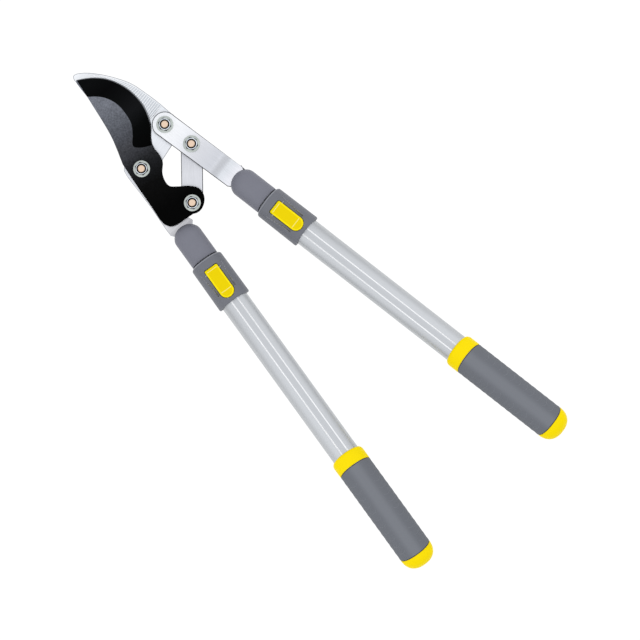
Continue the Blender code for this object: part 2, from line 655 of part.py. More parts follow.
def build_collar(side, material, frame):
    """The moulded collar, stepped inside, with a pocket for its lock lever."""
    front_bore = (INNER_TUBE[0] + 0.4, INNER_TUBE[1] + 0.4)
    rear_bore = (OUTER_TUBE[0] + RUNNING_GAP, OUTER_TUBE[1] + RUNNING_GAP)
    stations = ((COLLAR_START, COLLAR_FRONT_HALF - 2.6, 2.6, FRONT_SWEEP),
                (COLLAR_START + 0.7, COLLAR_FRONT_HALF - 0.8, 0.8, FRONT_SWEEP),
                (COLLAR_START + 2.6, COLLAR_FRONT_HALF, 0.0, FRONT_SWEEP),
                (COLLAR_END - 2.0, COLLAR_REAR_HALF, 0.0, REAR_SWEEP),
                (COLLAR_END - 0.6, COLLAR_REAR_HALF - 0.5, 0.5, REAR_SWEEP),
                (COLLAR_END, COLLAR_REAR_HALF - 1.8, 1.8, REAR_SWEEP))
    loops = [oval_loop(station, half, COLLAR_TOP - inset, COLLAR_BOTTOM - inset, sweep)
             for station, half, inset, sweep in stations]
    loops += [oval_loop(COLLAR_END, *rear_bore, sweep=REAR_SWEEP),
              oval_loop(COLLAR_STEP, *rear_bore), oval_loop(COLLAR_STEP, *front_bore),
              oval_loop(COLLAR_START, *front_bore, sweep=FRONT_SWEEP)]
    work = bmesh.new()
    add_loops(work, loops, close=True)
    collar = from_bmesh(f"{side}_collar", work, material, frame)
    pocket_half = LEVER_HALF_WIDTH + RUNNING_GAP
    pocket = lever_plan(pocket_half, LEVER_FRONT - 0.4, LEVER_REAR + 0.5, 1.0)
    cutters = [prism(pocket, POCKET_FLOOR_Z, CLEAR_Z)]
    for way in (-1.0, 1.0):
        cutters.append(finger_scoop(way))
    cutters.append(across_cylinder(LOCK_PIN_R + RUNNING_GAP, LOCK_PIN_HALF + RUNNING_GAP,
                                   LOCK_PIN_STATION, LOCK_PIN_Z))
    return subtract(collar, cutters)


def finger_scoop(way):
    """A shallow trough beside the lock lever that deepens to the rear and ends in a step."""
    near = way * SCOOP_NEAR
    far = way * SCOOP_FAR
    loops = []
    for station, depth in SCOOP_DEPTHS:
        loops.append([(near, -station, CLEAR_Z), (far, -station, CLEAR_Z),
                      (far, -station, SCOOP_FAR_Z - depth),
                      (near, -station, SCOOP_NEAR_Z - depth)])
    work = bmesh.new()
    add_loops(work, loops)
    return work


def lever_plan(half_width, front, rear, corner):
    """Plan of the lock lever: square in front with small corners, round at the rear."""
    outline = arc((0.0, -(rear - half_width)), half_width, 180.0, 360.0, 12)
    outline += arc((half_width - corner, -(front + corner)), corner, 0.0, 90.0, 2)
    outline += arc((-half_width + corner, -(front + corner)), corner, 90.0, 180.0, 2)
    return outline


def build_lock(side, materials, frame):
    """Flip-up lever, its pin, and the shoe that it presses onto the inner tube."""
    pin_place = (0.0, -LOCK_PIN_STATION, LOCK_PIN_Z)
    barrel = arc((-LOCK_PIN_STATION, LOCK_PIN_Z), LOCK_BARREL_R, 235.0, 315.0, 6)
    side_view = [(-LEVER_REAR, 31.8), (-LEVER_REAR + 2.6, LEVER_BOTTOM_Z),
                 (-LOCK_PIN_STATION - 4.0, LEVER_BOTTOM_Z)]
    side_view += barrel
    side_view += [(-LEVER_FRONT, 31.0), (-LEVER_FRONT, 32.6), (-LEVER_FRONT - 3.2, 35.3),
                  (-LEVER_FRONT - 4.2, LEVER_TOP_Z - 0.2), (-LEVER_FRONT - 19.0, LEVER_TOP_Z),
                  (-LEVER_FRONT - 30.0, LEVER_TOP_Z - 0.2), (-LEVER_REAR, 33.4)]
    plan = lever_plan(LEVER_HALF_WIDTH, LEVER_FRONT, LEVER_REAR, LEVER_CORNER)
    lever = from_bmesh(f"{side}_lock_lever", prism(plan, POCKET_FLOOR_Z, CLEAR_Z),
                       materials["yellow_polymer"], frame)
    profile = bmesh.new()
    add_loops(profile, [[(across, y, z) for y, z in side_view]
                        for across in (-CLEAR_ACROSS, CLEAR_ACROSS)])
    tool = from_bmesh("lever_profile", profile, materials["yellow_polymer"], frame)
    combine(lever, tool, "INTERSECT")
    subtract(lever, [across_cylinder(LOCK_PIN_R + RUNNING_GAP, CLEAR_ACROSS,
                                     LOCK_PIN_STATION, LOCK_PIN_Z)])
    move_origin(lever, pin_place)

    pin = across_cylinder(LOCK_PIN_R, LOCK_PIN_HALF, LOCK_PIN_STATION, LOCK_PIN_Z)
    from_bmesh(f"{side}_lock_pin", pin, materials["zinc_steel"], frame, pin_place)

    shoe_plan = slot_plan(SHOE_HALF, SHOE_FRONT, SHOE_REAR)
    shoe = from_bmesh(f"{side}_clamp_shoe", prism(shoe_plan, SHOE_BOTTOM_Z, SHOE_TOP_Z),
                      materials["black_polymer"], frame)
    tube_space = (INNER_TUBE[0] + RUNNING_GAP, INNER_TUBE[1] + RUNNING_GAP)
    subtract(shoe, [oval_bar(SHOE_FRONT - 7.0, SHOE_REAR + 9.0, tube_space)])


def move_origin(piece, place):
    """Put a piece's own origin on its joint's axis and keep its mesh where it is."""
    piece.data.transform(Matrix.Translation(-Vector(place) * MM))
    piece.location = Vector(place) * MM


def build_grip(side, materials, frame):
    """Yellow ring, grey sleeve and yellow end cap, over the outer tube."""
    bore = (OUTER_TUBE[0] + RUNNING_GAP, OUTER_TUBE[1] + RUNNING_GAP)
    ring = bmesh.new()
    rounding = [(RING_START, 2.4), (RING_START + 1.0, 0.8), (RING_START + 3.2, 0.0)]
    add_loops(ring, [oval_loop(station, RING[0] - inset, RING[1] - inset, sweep=GRIP_SWEEP)
                     for station, inset in rounding] + [
                     oval_loop(RING_END, *RING, sweep=GRIP_SWEEP),
                     oval_loop(RING_END, *RING, sweep=GRIP_SWEEP),
                     oval_loop(RING_END, *bore, sweep=GRIP_SWEEP),
                     oval_loop(RING_START, *bore, sweep=GRIP_SWEEP)], close=True)
    from_bmesh(f"{side}_grip_ring", ring, materials["yellow_polymer"], frame)

    sleeve_start = RING_END + RUNNING_GAP
    middle = (sleeve_start + GRIP_END) / 2.0
    sleeve = bmesh.new()
    add_loops(sleeve, [oval_loop(sleeve_start, *GRIP, sweep=GRIP_SWEEP),
                       oval_loop(middle, GRIP[0] - 0.1, GRIP[1]),
                       oval_loop(GRIP_END, *GRIP, sweep=-GRIP_SWEEP),
                       oval_loop(GRIP_END, *bore, sweep=-GRIP_SWEEP),
                       oval_loop(sleeve_start, *bore, sweep=GRIP_SWEEP)], close=True)
    from_bmesh(f"{side}_grip_sleeve", sleeve, materials["grey_rubber"], frame)

    plug = [size - RUNNING_GAP for size in OUTER_BORE]
    cap_start = GRIP_END + RUNNING_GAP
    loops = [oval_loop(CAP_PLUG_START, *plug), oval_loop(cap_start, *plug, sweep=-GRIP_SWEEP)]
    for share in (0.0, 0.25, 0.48, 0.68, 0.84, 0.94, 0.99):
        scale = (1.0 - share ** OVAL_POWER) ** (1.0 / OVAL_POWER)
        station = cap_start + (CAP_TIP - cap_start) * share
        loops.append(oval_loop(station, GRIP[0] * scale, GRIP[1] * scale,
                               sweep=-GRIP_SWEEP * (1.0 - share)))
    cap = bmesh.new()
    add_loops(cap, loops)
    from_bmesh(f"{side}_end_cap", cap, materials["yellow_polymer"], frame)


def build_handle(side, axis_x, spread, inward, materials, parent):
    """One whole handle in its own frame, whose y axis points at the head."""
    frame = make_empty(f"{side}_handle_frame", (axis_x, 0.0, 0.0), spread, parent)
    build_ferrule(side, materials["grey_polymer"], frame)
    build_inner_parts(side, materials, frame)
    slide = make_empty(f"{side}_slide_frame", (0.0, 0.0, 0.0), parent=frame)
    build_outer_tube(side, inward, materials["anodised_aluminium"], slide)
    build_collar(side, materials["grey_polymer"], slide)
    build_lock(side, materials, slide)
    build_grip(side, materials, slide)


def main():
    """Build the head, its four pivots and both handles."""
    clear_scene()
    materials = make_materials()
    head = make_empty("head_frame", (HEAD_X, HEAD_Y, 0.0))
    steel = materials["bright_steel"]
    build_hook(steel, head)
    move_origin(build_blade(materials["coated_steel"], head), (*MAIN_PIVOT, UPPER_Z))
    move_origin(build_lever(steel, head), (*LEVER_PIVOT, UPPER_Z))
    move_origin(build_link(steel, head), (*LEVER_LINK_PIVOT, LOWER_Z))
    for name, pivot in (("main", MAIN_PIVOT), ("lever", LEVER_PIVOT),
                        ("lever_link", LEVER_LINK_PIVOT), ("blade_link", BLADE_LINK_PIVOT)):
        build_pivot(name, pivot, materials, head)
    build_handle("left", LEFT_AXIS_X, -HANDLE_ANGLE, 1.0, materials, head)
    build_handle("right", RIGHT_AXIS_X, HANDLE_ANGLE, -1.0, materials, head)


main()
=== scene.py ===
"""Looks of the bypass loppers: finished pieces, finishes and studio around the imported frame.

The CAD frame gives every place and size.  Each sub-assembly here is a class that holds
its own finer sizes, builds its meshes and ties them to the frame's bodies.

Lengths are written in millimetres and turned into metres by MM.  The head frame has x
across the tool and y towards the jaw tip.  In a handle's frame a point is given by its
distance across, its station back along the handle's axis and its height.
"""
from __future__ import annotations

import json
import logging
import math
from dataclasses import dataclass, field
from enum import Enum
from typing import Callable, Sequence

import bmesh
import bpy
from mathutils import Matrix, Vector


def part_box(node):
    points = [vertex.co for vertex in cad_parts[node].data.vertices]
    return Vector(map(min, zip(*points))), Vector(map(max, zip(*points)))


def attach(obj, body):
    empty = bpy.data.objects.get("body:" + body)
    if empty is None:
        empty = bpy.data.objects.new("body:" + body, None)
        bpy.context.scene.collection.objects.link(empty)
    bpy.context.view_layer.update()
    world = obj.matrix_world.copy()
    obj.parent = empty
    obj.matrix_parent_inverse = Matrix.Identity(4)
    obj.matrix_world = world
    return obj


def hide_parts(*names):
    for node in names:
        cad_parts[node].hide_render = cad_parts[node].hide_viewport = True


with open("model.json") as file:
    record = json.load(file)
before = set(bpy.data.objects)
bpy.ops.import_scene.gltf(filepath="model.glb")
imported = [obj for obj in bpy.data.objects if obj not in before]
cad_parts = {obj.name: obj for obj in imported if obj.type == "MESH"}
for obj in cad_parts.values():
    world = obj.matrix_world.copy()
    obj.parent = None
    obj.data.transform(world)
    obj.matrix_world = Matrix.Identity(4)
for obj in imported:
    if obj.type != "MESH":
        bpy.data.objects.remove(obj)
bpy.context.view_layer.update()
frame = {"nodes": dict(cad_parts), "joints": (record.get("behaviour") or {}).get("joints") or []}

LOG = logging.getLogger("loppers")

Stop = tuple[float, str]
Flat = tuple[float, float]
Place = tuple[float, float, float]

MM = 0.001
ROUND_SIDES = 64
# A turned piece has 72 sides, so that a hexagon's corners fall on points.
TURNED_SIDES = 72
OVAL_SIDES = 120
# Cutters for holes reach from the ground to well above the object.
CUT_TOP = 50.0
SMOOTH_ANGLE = math.radians(32.0)

# Pivots of the linkage in the head frame, with the main pivot's place over its origin.
MAIN_PIVOT = (0.0, 0.8)
LEVER_PIVOT = (52.2, 18.2)
LEVER_LINK_PIVOT = (58.5, -17.5)
BLADE_LINK_PIVOT = (14.2, -64.8)

# Outlines of the plates in the head frame.
HOOK_OUTER = [(13.9, 121.6), (15.6, 126.0), (18.8, 126.8), (25.9, 122.6), (36.5, 111.5),
              (48.8, 93.2), (57.1, 76.2), (61.8, 55.0), (63.9, 42.1), (65.9, 22.0)]
HOOK_WEB = [(50.0, -1.8), (24.3, -7.6)]
HOOK_SHANK_INNER = [(14.0, -13.0), (7.0, -26.0), (4.0, -45.0), (0.0, -62.0), (-0.6, -71.5)]
HOOK_SHANK_OUTER = [(-28.0, -72.5), (-26.9, -63.8), (-22.7, -39.2), (-20.4, -20.7),
                    (-17.5, 5.0), (-15.6, 13.0)]
HOOK_JAW = [(-10.5, 18.0), (8.0, 25.0), (24.0, 28.5), (34.5, 37.0), (40.0, 49.0),
            (41.5, 63.0), (40.0, 77.0), (35.5, 90.0), (28.5, 101.0), (20.0, 110.5),
            (14.8, 117.0)]
BLADE_SPINE = [(11.8, 99.1), (9.0, 86.0), (5.0, 67.0), (0.7, 50.0), (-4.0, 37.0),
               (-11.6, 18.7)]
BLADE_BACK = [(-13.5, 8.0), (-16.8, -10.0), (-21.5, -38.5), (-24.4, -53.5)]
BLADE_TAIL = [(-24.4, -60.5), (-21.0, -67.0), (-14.5, -70.4), (-4.2, -72.2), (6.5, -74.2),
              (15.0, -76.8), (23.5, -73.8), (29.6, -66.9), (30.4, -57.7), (25.0, -49.2),
              (15.0, -40.4), (9.2, -34.2), (9.0, -27.7), (13.1, -18.5), (22.1, -9.6),
              (25.0, -1.0), (25.4, 6.4)]
BLADE_TIP = [(11.8, 99.1), (13.2, 113.5), (14.4, 119.8), (16.2, 121.0)]
BLADE_EDGE = [(27.5, 12.5), (31.8, 18.6), (39.3, 26.4), (45.0, 35.0), (50.0, 49.3),
              (51.3, 62.0), (50.3, 75.0), (46.2, 89.1), (39.7, 100.9), (29.4, 111.8),
              (20.6, 118.2), (16.2, 121.0)]
BLADE_BEVEL = [(26.0, 11.6), (15.0, 18.6), (10.6, 25.2), (18.6, 34.3), (26.1, 44.3),
               (29.4, 57.0), (29.7, 71.5), (25.3, 84.4), (18.8, 92.9), (11.8, 99.1)]
LEVER_LEFT_SIDE = (54.3, -77.0)
LEVER_RIGHT_SIDE = (81.3, -76.0)


# ---- named options

class Slot(Enum):
    """Material slots of the record, which each finish names."""

    BRIGHT_STEEL = "bright_steel"
    COATED_STEEL = "coated_steel"
    ZINC_STEEL = "zinc_steel"
    ALUMINIUM = "anodised_aluminium"
    GREY_NYLON = "grey_polymer"
    SOFT_GRIP = "grey_rubber"
    YELLOW_NYLON = "yellow_polymer"
    BLACK_NYLON = "black_polymer"
    NATURAL_NYLON = "natural_nylon"


class Body(Enum):
    """Bodies of the frame that a piece can ride on."""

    HEAD = "head_and_left_handle"
    BLADE = "blade"
    LEVER = "lever_and_right_handle"
    LINK = "link"
    LEFT_SLIDE = "left_slide"
    RIGHT_SLIDE = "right_slide"
    LEFT_LOCK = "left_lock"
    RIGHT_LOCK = "right_lock"


class Side(Enum):
    """The two handles."""

    LEFT = "left"
    RIGHT = "right"

    @property
    def inward(self) -> float:
        """The way across a handle that points at the other one."""
        return 1.0 if self is Side.LEFT else -1.0

    @property
    def fixed_body(self) -> Body:
        """The body that the handle's ferrule belongs to."""
        return Body.HEAD if self is Side.LEFT else Body.LEVER

    @property
    def slide_body(self) -> Body:
        """The body that slides back along the handle."""
        return Body(f"{self.value}_slide")

    @property
    def lock_body(self) -> Body:
        """The body of the flip-up lock lever."""
        return Body(f"{self.value}_lock")


# ---- node trees

def linear(colour: str) -> tuple[float, float, float, float]:
    """Turn an sRGB hex colour into linear values.

    Args:
        colour: Six hex digits, red first.

    Returns:
        Linear red, green and blue, fully opaque.
    """
    values = []
    for start in (0, 2, 4):
        value = int(colour[start:start + 2], 16) / 255.0
        values.append(value / 12.92 if value <= 0.04045 else ((value + 0.055) / 1.055) ** 2.4)
    return (values[0], values[1], values[2], 1.0)


def feed(node: bpy.types.Node, feeds: dict) -> None:
    """Set or link a node's inputs.

    Args:
        node: The node.
        feeds: For each input, by its name or number, a constant, an output socket or a
            node, which gives its first output.
    """
    for key, value in feeds.items():
        if isinstance(value, bpy.types.Node):
            value = value.outputs[0]
        if isinstance(value, bpy.types.NodeSocket):
            node.id_data.links.new(value, node.inputs[key])
        else:
            node.inputs[key].default_value = value


def add(tree: bpy.types.NodeTree, kind: str, feeds: dict | None = None,
        **settings: object) -> bpy.types.Node:
    """Add a node of a kind to a tree, with its settings and what feeds its inputs."""
    node = tree.nodes.new(kind)
    for name, value in settings.items():
        setattr(node, name, value)
    feed(node, feeds or {})
    return node


# ---- finishes

@dataclass(frozen=True)
class Finish:
    """One surface: its colour, gloss and the fine detail that its making leaves; some finishes
    also carry painted shade, painted highlights and painted reflections.
    """

    title: str
    slot: Slot
    colour: str
    roughness: float
    metallic: float = 0.0
    specular: float = 0.5

    def material(self) -> bpy.types.Material:
        """Build the material once and give it back on every later call."""
        known = bpy.data.materials.get(self.title)
        if known:
            return known
        made = bpy.data.materials.new(self.title)
        made.use_nodes = True
        shader = made.node_tree.nodes["Principled BSDF"]
        feed(shader, {"Base Color": linear(self.colour), "Roughness": self.roughness,
                      "Metallic": self.metallic, "Specular IOR Level": self.specular})
        made.diffuse_color = linear(self.colour)
        self.dress(made.node_tree, shader)
        return made

    def dress(self, tree: bpy.types.NodeTree, shader: bpy.types.Node) -> None:
        """Add the surface's detail; a finish without any leaves the shader as it is."""

    @staticmethod
    def tone_along(tree: bpy.types.NodeTree, at: bpy.types.NodeSocket,
                   grain: bpy.types.NodeSocket, grain_share: float, ends: Sequence[Place],
                   stops: Sequence[Stop]) -> bpy.types.NodeSocket:
        """Let the tone run through stops between two places, broken up by a grain.

        Args:
            tree: The material's tree.
            at: Object coordinates.
            grain: A pattern of mean one half that shifts the tone.
            grain_share: How far along the run the grain can shift it.
            ends: Where the run starts and ends, in metres.
            stops: Share of the run and colour of each stop.

        Returns:
            The colour's socket.
        """
        run = Vector(ends[1]) - Vector(ends[0])
        offset = add(tree, "ShaderNodeVectorMath", {0: at, 1: ends[0]}, operation="SUBTRACT")
        along = add(tree, "ShaderNodeVectorMath",
                    {0: offset, 1: tuple(run / run.length_squared)}, operation="DOT_PRODUCT")
        uneven = add(tree, "ShaderNodeMath",
                     {0: grain, 1: grain_share, 2: along.outputs["Value"]},
                     operation="MULTIPLY_ADD")
        centred = add(tree, "ShaderNodeMath", {0: uneven, 1: grain_share / 2.0},
                      operation="SUBTRACT", use_clamp=True)
        ramp = add(tree, "ShaderNodeValToRGB", {"Fac": centred})
        elements = ramp.color_ramp.elements
        while len(elements) < len(stops):
            elements.new(1.0)
        for element, (share, colour) in zip(elements, stops):
            element.position = share
            element.color = linear(colour)
        return ramp.outputs["Color"]

    @staticmethod
    def mottled(tree: bpy.types.NodeTree, tone: bpy.types.NodeSocket,
                pattern: bpy.types.NodeSocket, amount: float) -> bpy.types.NodeSocket:
        """Lighten and darken a tone by a pattern of mean one half."""
        strength = add(tree, "ShaderNodeMapRange",
                       {"Value": pattern, "From Min": 0.25, "From Max": 0.75,
                        "To Min": 1.0 - amount, "To Max": 1.0 + amount})
        return add(tree, "ShaderNodeVectorMath", {0: tone, 3: strength},
                   operation="SCALE").outputs[0]


@dataclass(frozen=True)
class MouldedNylon(Finish):
    """Glass-filled nylon from a spark-eroded mould.

    The mould leaves an even satin grain, and the filler a faint cloudiness, so the gloss
    breaks up softly and no edge is mirror bright.
    """

    # The real grain is about 0.15 mm; it is drawn at 0.6 mm so that it shows.
    grain: float = 0.6
    cloud: float = 9.0
    cloud_colour: str = "888888"
    depth: float = 0.02

    def dress(self, tree: bpy.types.NodeTree, shader: bpy.types.Node) -> None:
        """Grain as bump, and a slow drift between the colour and its cloudy tone."""
        at = add(tree, "ShaderNodeTexCoord").outputs["Object"]
        cloud = add(tree, "ShaderNodeTexNoise",
                    {"Vector": at, "Scale": 1.0 / (self.cloud * MM), "Detail": 3.0})
        # The colour sockets of a Mix node stand after its float and vector ones.
        tone = add(tree, "ShaderNodeMix",
                   {0: cloud.outputs["Fac"], 6: linear(self.colour),
                    7: linear(self.cloud_colour)}, data_type="RGBA")
        grain = add(tree, "ShaderNodeTexNoise",
                    {"Vector": at, "Scale": 1.0 / (self.grain * MM), "Detail": 2.0})
        bump = add(tree, "ShaderNodeBump",
                   {"Height": grain.outputs["Fac"], "Distance": self.depth * MM,
                    "Strength": 0.6})
        feed(shader, {"Base Color": tone.outputs[2], "Normal": bump})


@dataclass(frozen=True)
class SoftGrip(MouldedNylon):
    """Soft thermoplastic rubber moulded over the tube.

    Its crown is painted paler along the grip's axis, a painted highlight where light from above
    falls, and its flanks keep the matt grain of the mould.
    """

    # Painted highlight: the crown's paler colour stands for the light falling on the grip's top.
    crown_highlight_colour: str = "7a7d83"
    crown_half: float = 7.0
    axis_spot: Place = (0.0, 0.0, 0.0)
    axis_heading: float = 0.0

    def dress(self, tree: bpy.types.NodeTree, shader: bpy.types.Node) -> None:
        """The nylon's grain, with a painted highlight: a paler crown along the grip's axis."""
        super().dress(tree, shader)
        flank = shader.inputs["Base Color"].links[0].from_socket
        at = add(tree, "ShaderNodeTexCoord").outputs["Object"]
        offset = add(tree, "ShaderNodeVectorMath", {0: at, 1: self.axis_spot},
                     operation="SUBTRACT")
        own = add(tree, "ShaderNodeMapping",
                  {"Vector": offset, "Rotation": (0.0, 0.0, -self.axis_heading)})
        parts = add(tree, "ShaderNodeSeparateXYZ", {0: own})
        reach = add(tree, "ShaderNodeMath", {0: parts}, operation="ABSOLUTE")
        # Painted highlight: paler towards the grip's axis, where its top faces the light.
        crown = add(tree, "ShaderNodeMapRange",
                    {"Value": reach, "From Min": self.crown_half * 1.5 * MM,
                     "From Max": self.crown_half * 0.3 * MM}, interpolation_type="SMOOTHSTEP")
        tone = add(tree, "ShaderNodeMix", {0: crown, 6: flank, 7: linear(self.crown_highlight_colour)},
                   data_type="RGBA")
        feed(shader, {"Base Color": tone.outputs[2]})


@dataclass(frozen=True)
class BrushedSteel(Finish):
    """Bright steel plate, ground and then brushed one way.

    The brush leaves long fine scratches, so the plate glows softly instead of mirroring,
    and its tone is mottled in bands along the brushing.  Its tone also runs through given
    stops along the plate; on the hook and lever plates these stops are painted shade and
    reflection.
    """

    # Real scratches are about 0.1 mm apart; they are drawn 0.9 mm apart so that they show.
    scratch: float = 0.9
    scratch_length: float = 14.0
    heading: float = 0.0
    ends: tuple[Place, Place] = ((0.0, 0.0, 0.0), (0.0, 0.1, 0.0))
    stops: tuple[Stop, ...] = ((0.0, "c0c2c5"), (1.0, "c8cbd0"))
    streak_share: float = 0.05
    contrast: float = 0.08

    def dress(self, tree: bpy.types.NodeTree, shader: bpy.types.Node) -> None:
        """Streaks in tone, gloss and relief, over a drift of tone along the plate."""
        at = add(tree, "ShaderNodeTexCoord").outputs["Object"]
        aligned = add(tree, "ShaderNodeMapping",
                      {"Vector": at, "Rotation": (0.0, 0.0, -self.heading)})
        stretched = add(tree, "ShaderNodeMapping",
                        {"Vector": aligned,
                         "Scale": (1.0 / (self.scratch_length * MM),
                                   1.0 / (self.scratch * MM), 1.0 / (self.scratch * MM))})
        streak = add(tree, "ShaderNodeTexNoise",
                     {"Vector": stretched, "Scale": 1.0, "Detail": 4.0, "Roughness": 0.65})
        tone = self.tone_along(tree, at, streak.outputs["Fac"], self.streak_share,
                               self.ends, self.stops)
        tone = self.mottled(tree, tone, streak.outputs["Fac"], self.contrast)
        gloss = add(tree, "ShaderNodeMapRange",
                    {"Value": streak.outputs["Fac"], "To Min": self.roughness - 0.06,
                     "To Max": self.roughness + 0.06})
        bump = add(tree, "ShaderNodeBump",
                   {"Height": streak.outputs["Fac"], "Distance": 0.01 * MM, "Strength": 0.5})
        feed(shader, {"Base Color": tone, "Roughness": gloss, "Normal": bump})


@dataclass(frozen=True)
class CoatedBlade(Finish):
    """Hardened steel under a baked black low-friction coating.

    The coating pales from near black at the tail to slate towards the tip, with a fine
    speckle from the spray.
    """

    # Tone at each share of the way from the tail to the tip.
    stops: tuple[Stop, ...] = ((0.0, "030303"), (0.22, "0b0b0b"), (0.34, "1c1d1f"),
                               (0.405, "262729"), (0.47, "38393d"), (0.54, "434448"),
                               (0.61, "4c4e54"), (0.75, "62656c"), (0.88, "72757d"),
                               (1.0, "767982"))
    ends: tuple[Place, Place] = ((0.0, 0.0, 0.0), (0.0, 0.1, 0.0))
    speckle: float = 1.6
    contrast: float = 0.30

    def dress(self, tree: bpy.types.NodeTree, shader: bpy.types.Node) -> None:
        """A ramp from tail to tip, broken up by the spray's speckle."""
        at = add(tree, "ShaderNodeTexCoord").outputs["Object"]
        speckle = add(tree, "ShaderNodeTexNoise",
                      {"Vector": at, "Scale": 1.0 / (self.speckle * MM), "Detail": 2.0})
        tone = self.tone_along(tree, at, speckle.outputs["Fac"], 0.05, self.ends, self.stops)
        tone = self.mottled(tree, tone, speckle.outputs["Fac"], self.contrast)
        bump = add(tree, "ShaderNodeBump",
                   {"Height": speckle.outputs["Fac"], "Distance": 0.015 * MM, "Strength": 0.4})
        feed(shader, {"Base Color": tone, "Normal": bump})


@dataclass(frozen=True)
class PlatedSteel(Finish):
    """Zinc-plated steel, passivated.

    The plating is bright and slightly wavy, with a faint haze of small pits.
    """

    wave: float = 2.2

    def dress(self, tree: bpy.types.NodeTree, shader: bpy.types.Node) -> None:
        """A shallow waviness, and gloss that varies with it."""
        at = add(tree, "ShaderNodeTexCoord").outputs["Object"]
        wave = add(tree, "ShaderNodeTexNoise",
                   {"Vector": at, "Scale": 1.0 / (self.wave * MM), "Detail": 3.0})
        gloss = add(tree, "ShaderNodeMapRange",
                    {"Value": wave.outputs["Fac"], "To Min": self.roughness - 0.05,
                     "To Max": self.roughness + 0.08})
        bump = add(tree, "ShaderNodeBump",
                   {"Height": wave.outputs["Fac"], "Distance": 0.01 * MM, "Strength": 0.5})
        feed(shader, {"Roughness": gloss, "Normal": bump})


@dataclass(frozen=True)
class DrawnAluminium(Finish):
    """Extruded aluminium tube, satin anodised.

    The die leaves faint lines along the tube, and the anodising turns the metal's gloss
    into a soft, slightly bluish sheen.
    """

    # Real die lines are finer; they are drawn 1.1 mm apart so that they show.
    line: float = 1.1
    line_length: float = 150.0
    along: float = 0.0
    far_colour: str = "c4c8cc"

    def dress(self, tree: bpy.types.NodeTree, shader: bpy.types.Node) -> None:
        """Die lines in tone and relief along the tube."""
        at = add(tree, "ShaderNodeTexCoord").outputs["Object"]
        aligned = add(tree, "ShaderNodeMapping",
                      {"Vector": at, "Rotation": (0.0, 0.0, -self.along)})
        stretched = add(tree, "ShaderNodeMapping",
                        {"Vector": aligned,
                         "Scale": (1.0 / (self.line * MM), 1.0 / (self.line_length * MM),
                                   1.0 / (self.line * MM))})
        line = add(tree, "ShaderNodeTexNoise",
                   {"Vector": stretched, "Scale": 1.0, "Detail": 3.0})
        tone = add(tree, "ShaderNodeMix",
                   {0: line.outputs["Fac"], 6: linear(self.colour),
                    7: linear(self.far_colour)}, data_type="RGBA")
        bump = add(tree, "ShaderNodeBump",
                   {"Height": line.outputs["Fac"], "Distance": 0.01 * MM, "Strength": 0.4})
        feed(shader, {"Base Color": tone.outputs[2], "Normal": bump})


# ---- outlines

def curve_through(points: Sequence[Flat], steps: int) -> list[Flat]:
    """Draw a smooth centripetal curve through points.

    Args:
        points: The places that the curve passes.
        steps: Pieces between each two of them.

    Returns:
        Points on the curve, both ends included.
    """
    first = Vector(points[0]) * 2 - Vector(points[1])
    last = Vector(points[-1]) * 2 - Vector(points[-2])
    knots = [first] + [Vector(point) for point in points] + [last]
    places = []
    for before, start, end, after in zip(knots, knots[1:], knots[2:], knots[3:]):
        t1 = math.sqrt((start - before).length)
        t2 = t1 + math.sqrt((end - start).length)
        t3 = t2 + math.sqrt((after - end).length)
        for step in range(steps):
            t = t1 + (t2 - t1) * step / steps
            a1 = before * ((t1 - t) / t1) + start * (t / t1)
            a2 = start * ((t2 - t) / (t2 - t1)) + end * ((t - t1) / (t2 - t1))
            a3 = end * ((t3 - t) / (t3 - t2)) + after * ((t - t2) / (t3 - t2))
            b1 = a1 * ((t2 - t) / t2) + a2 * (t / t2)
            b2 = a2 * ((t3 - t) / (t3 - t1)) + a3 * ((t - t1) / (t3 - t1))
            place = b1 * ((t2 - t) / (t2 - t1)) + b2 * ((t - t1) / (t2 - t1))
            places.append((place.x, place.y))
    places.append(tuple(points[-1]))
    return places


def arc(centre: Flat, radius: float, start: float, end: float, steps: int) -> list[Flat]:
    """Points on a round arc between two angles in degrees, ends included."""
    angles = [math.radians(start + (end - start) * step / steps) for step in range(steps + 1)]
    return [(centre[0] + radius * math.cos(angle), centre[1] + radius * math.sin(angle))
            for angle in angles]


def resample(points: Sequence[Flat], count: int) -> list[Flat]:
    """Spread count points evenly along a chain of straight pieces."""
    places = [Vector(point) for point in points]
    reach = [0.0]
    for start, end in zip(places, places[1:]):
        reach.append(reach[-1] + (end - start).length)
    spread = []
    piece = 0
    for step in range(count):
        goal = reach[-1] * step / (count - 1)
        while piece < len(reach) - 2 and reach[piece + 1] < goal:
            piece += 1
        share = (goal - reach[piece]) / (reach[piece + 1] - reach[piece])
        place = places[piece].lerp(places[piece + 1], share)
        spread.append((place.x, place.y))
    return spread


def inset(points: Sequence[Flat], distance: float, closed: bool = True) -> list[Flat]:
    """Move each point of a chain to the left of its run.

    Args:
        points: The chain.
        distance: How far each point moves, to the right if it is negative.
        closed: Whether the last point joins the first.

    Returns:
        The moved chain, as long as the first.
    """
    moved = []
    count = len(points)
    for index, point in enumerate(points):
        before = points[index - 1] if closed or index else points[index]
        after = points[(index + 1) % count] if closed or index < count - 1 else points[index]
        here = Vector(point)
        runs = [run.normalized() for run in (here - Vector(before), Vector(after) - here)
                if run.length > 1e-6]
        run = sum(runs, Vector((0.0, 0.0))).normalized()
        stretch = 1.0 / max(0.5, runs[0].dot(run))
        moved.append((point[0] - run.y * distance * stretch,
                      point[1] + run.x * distance * stretch))
    return moved


def ease(value: float, low: float, high: float) -> float:
    """A smooth step from 0 at low to 1 at high."""
    share = min(max((value - low) / (high - low), 0.0), 1.0)
    return share * share * (3.0 - 2.0 * share)


# ---- meshes

def heights(node: str) -> list[float]:
    """Lowest and highest point of a CAD node, in millimetres."""
    return [corner.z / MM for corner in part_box(node)]


def plan_centre(node: str) -> Flat:
    """Middle of a CAD node seen from above, in millimetres."""
    low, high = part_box(node)
    return (low.x + high.x) / (2.0 * MM), (low.y + high.y) / (2.0 * MM)


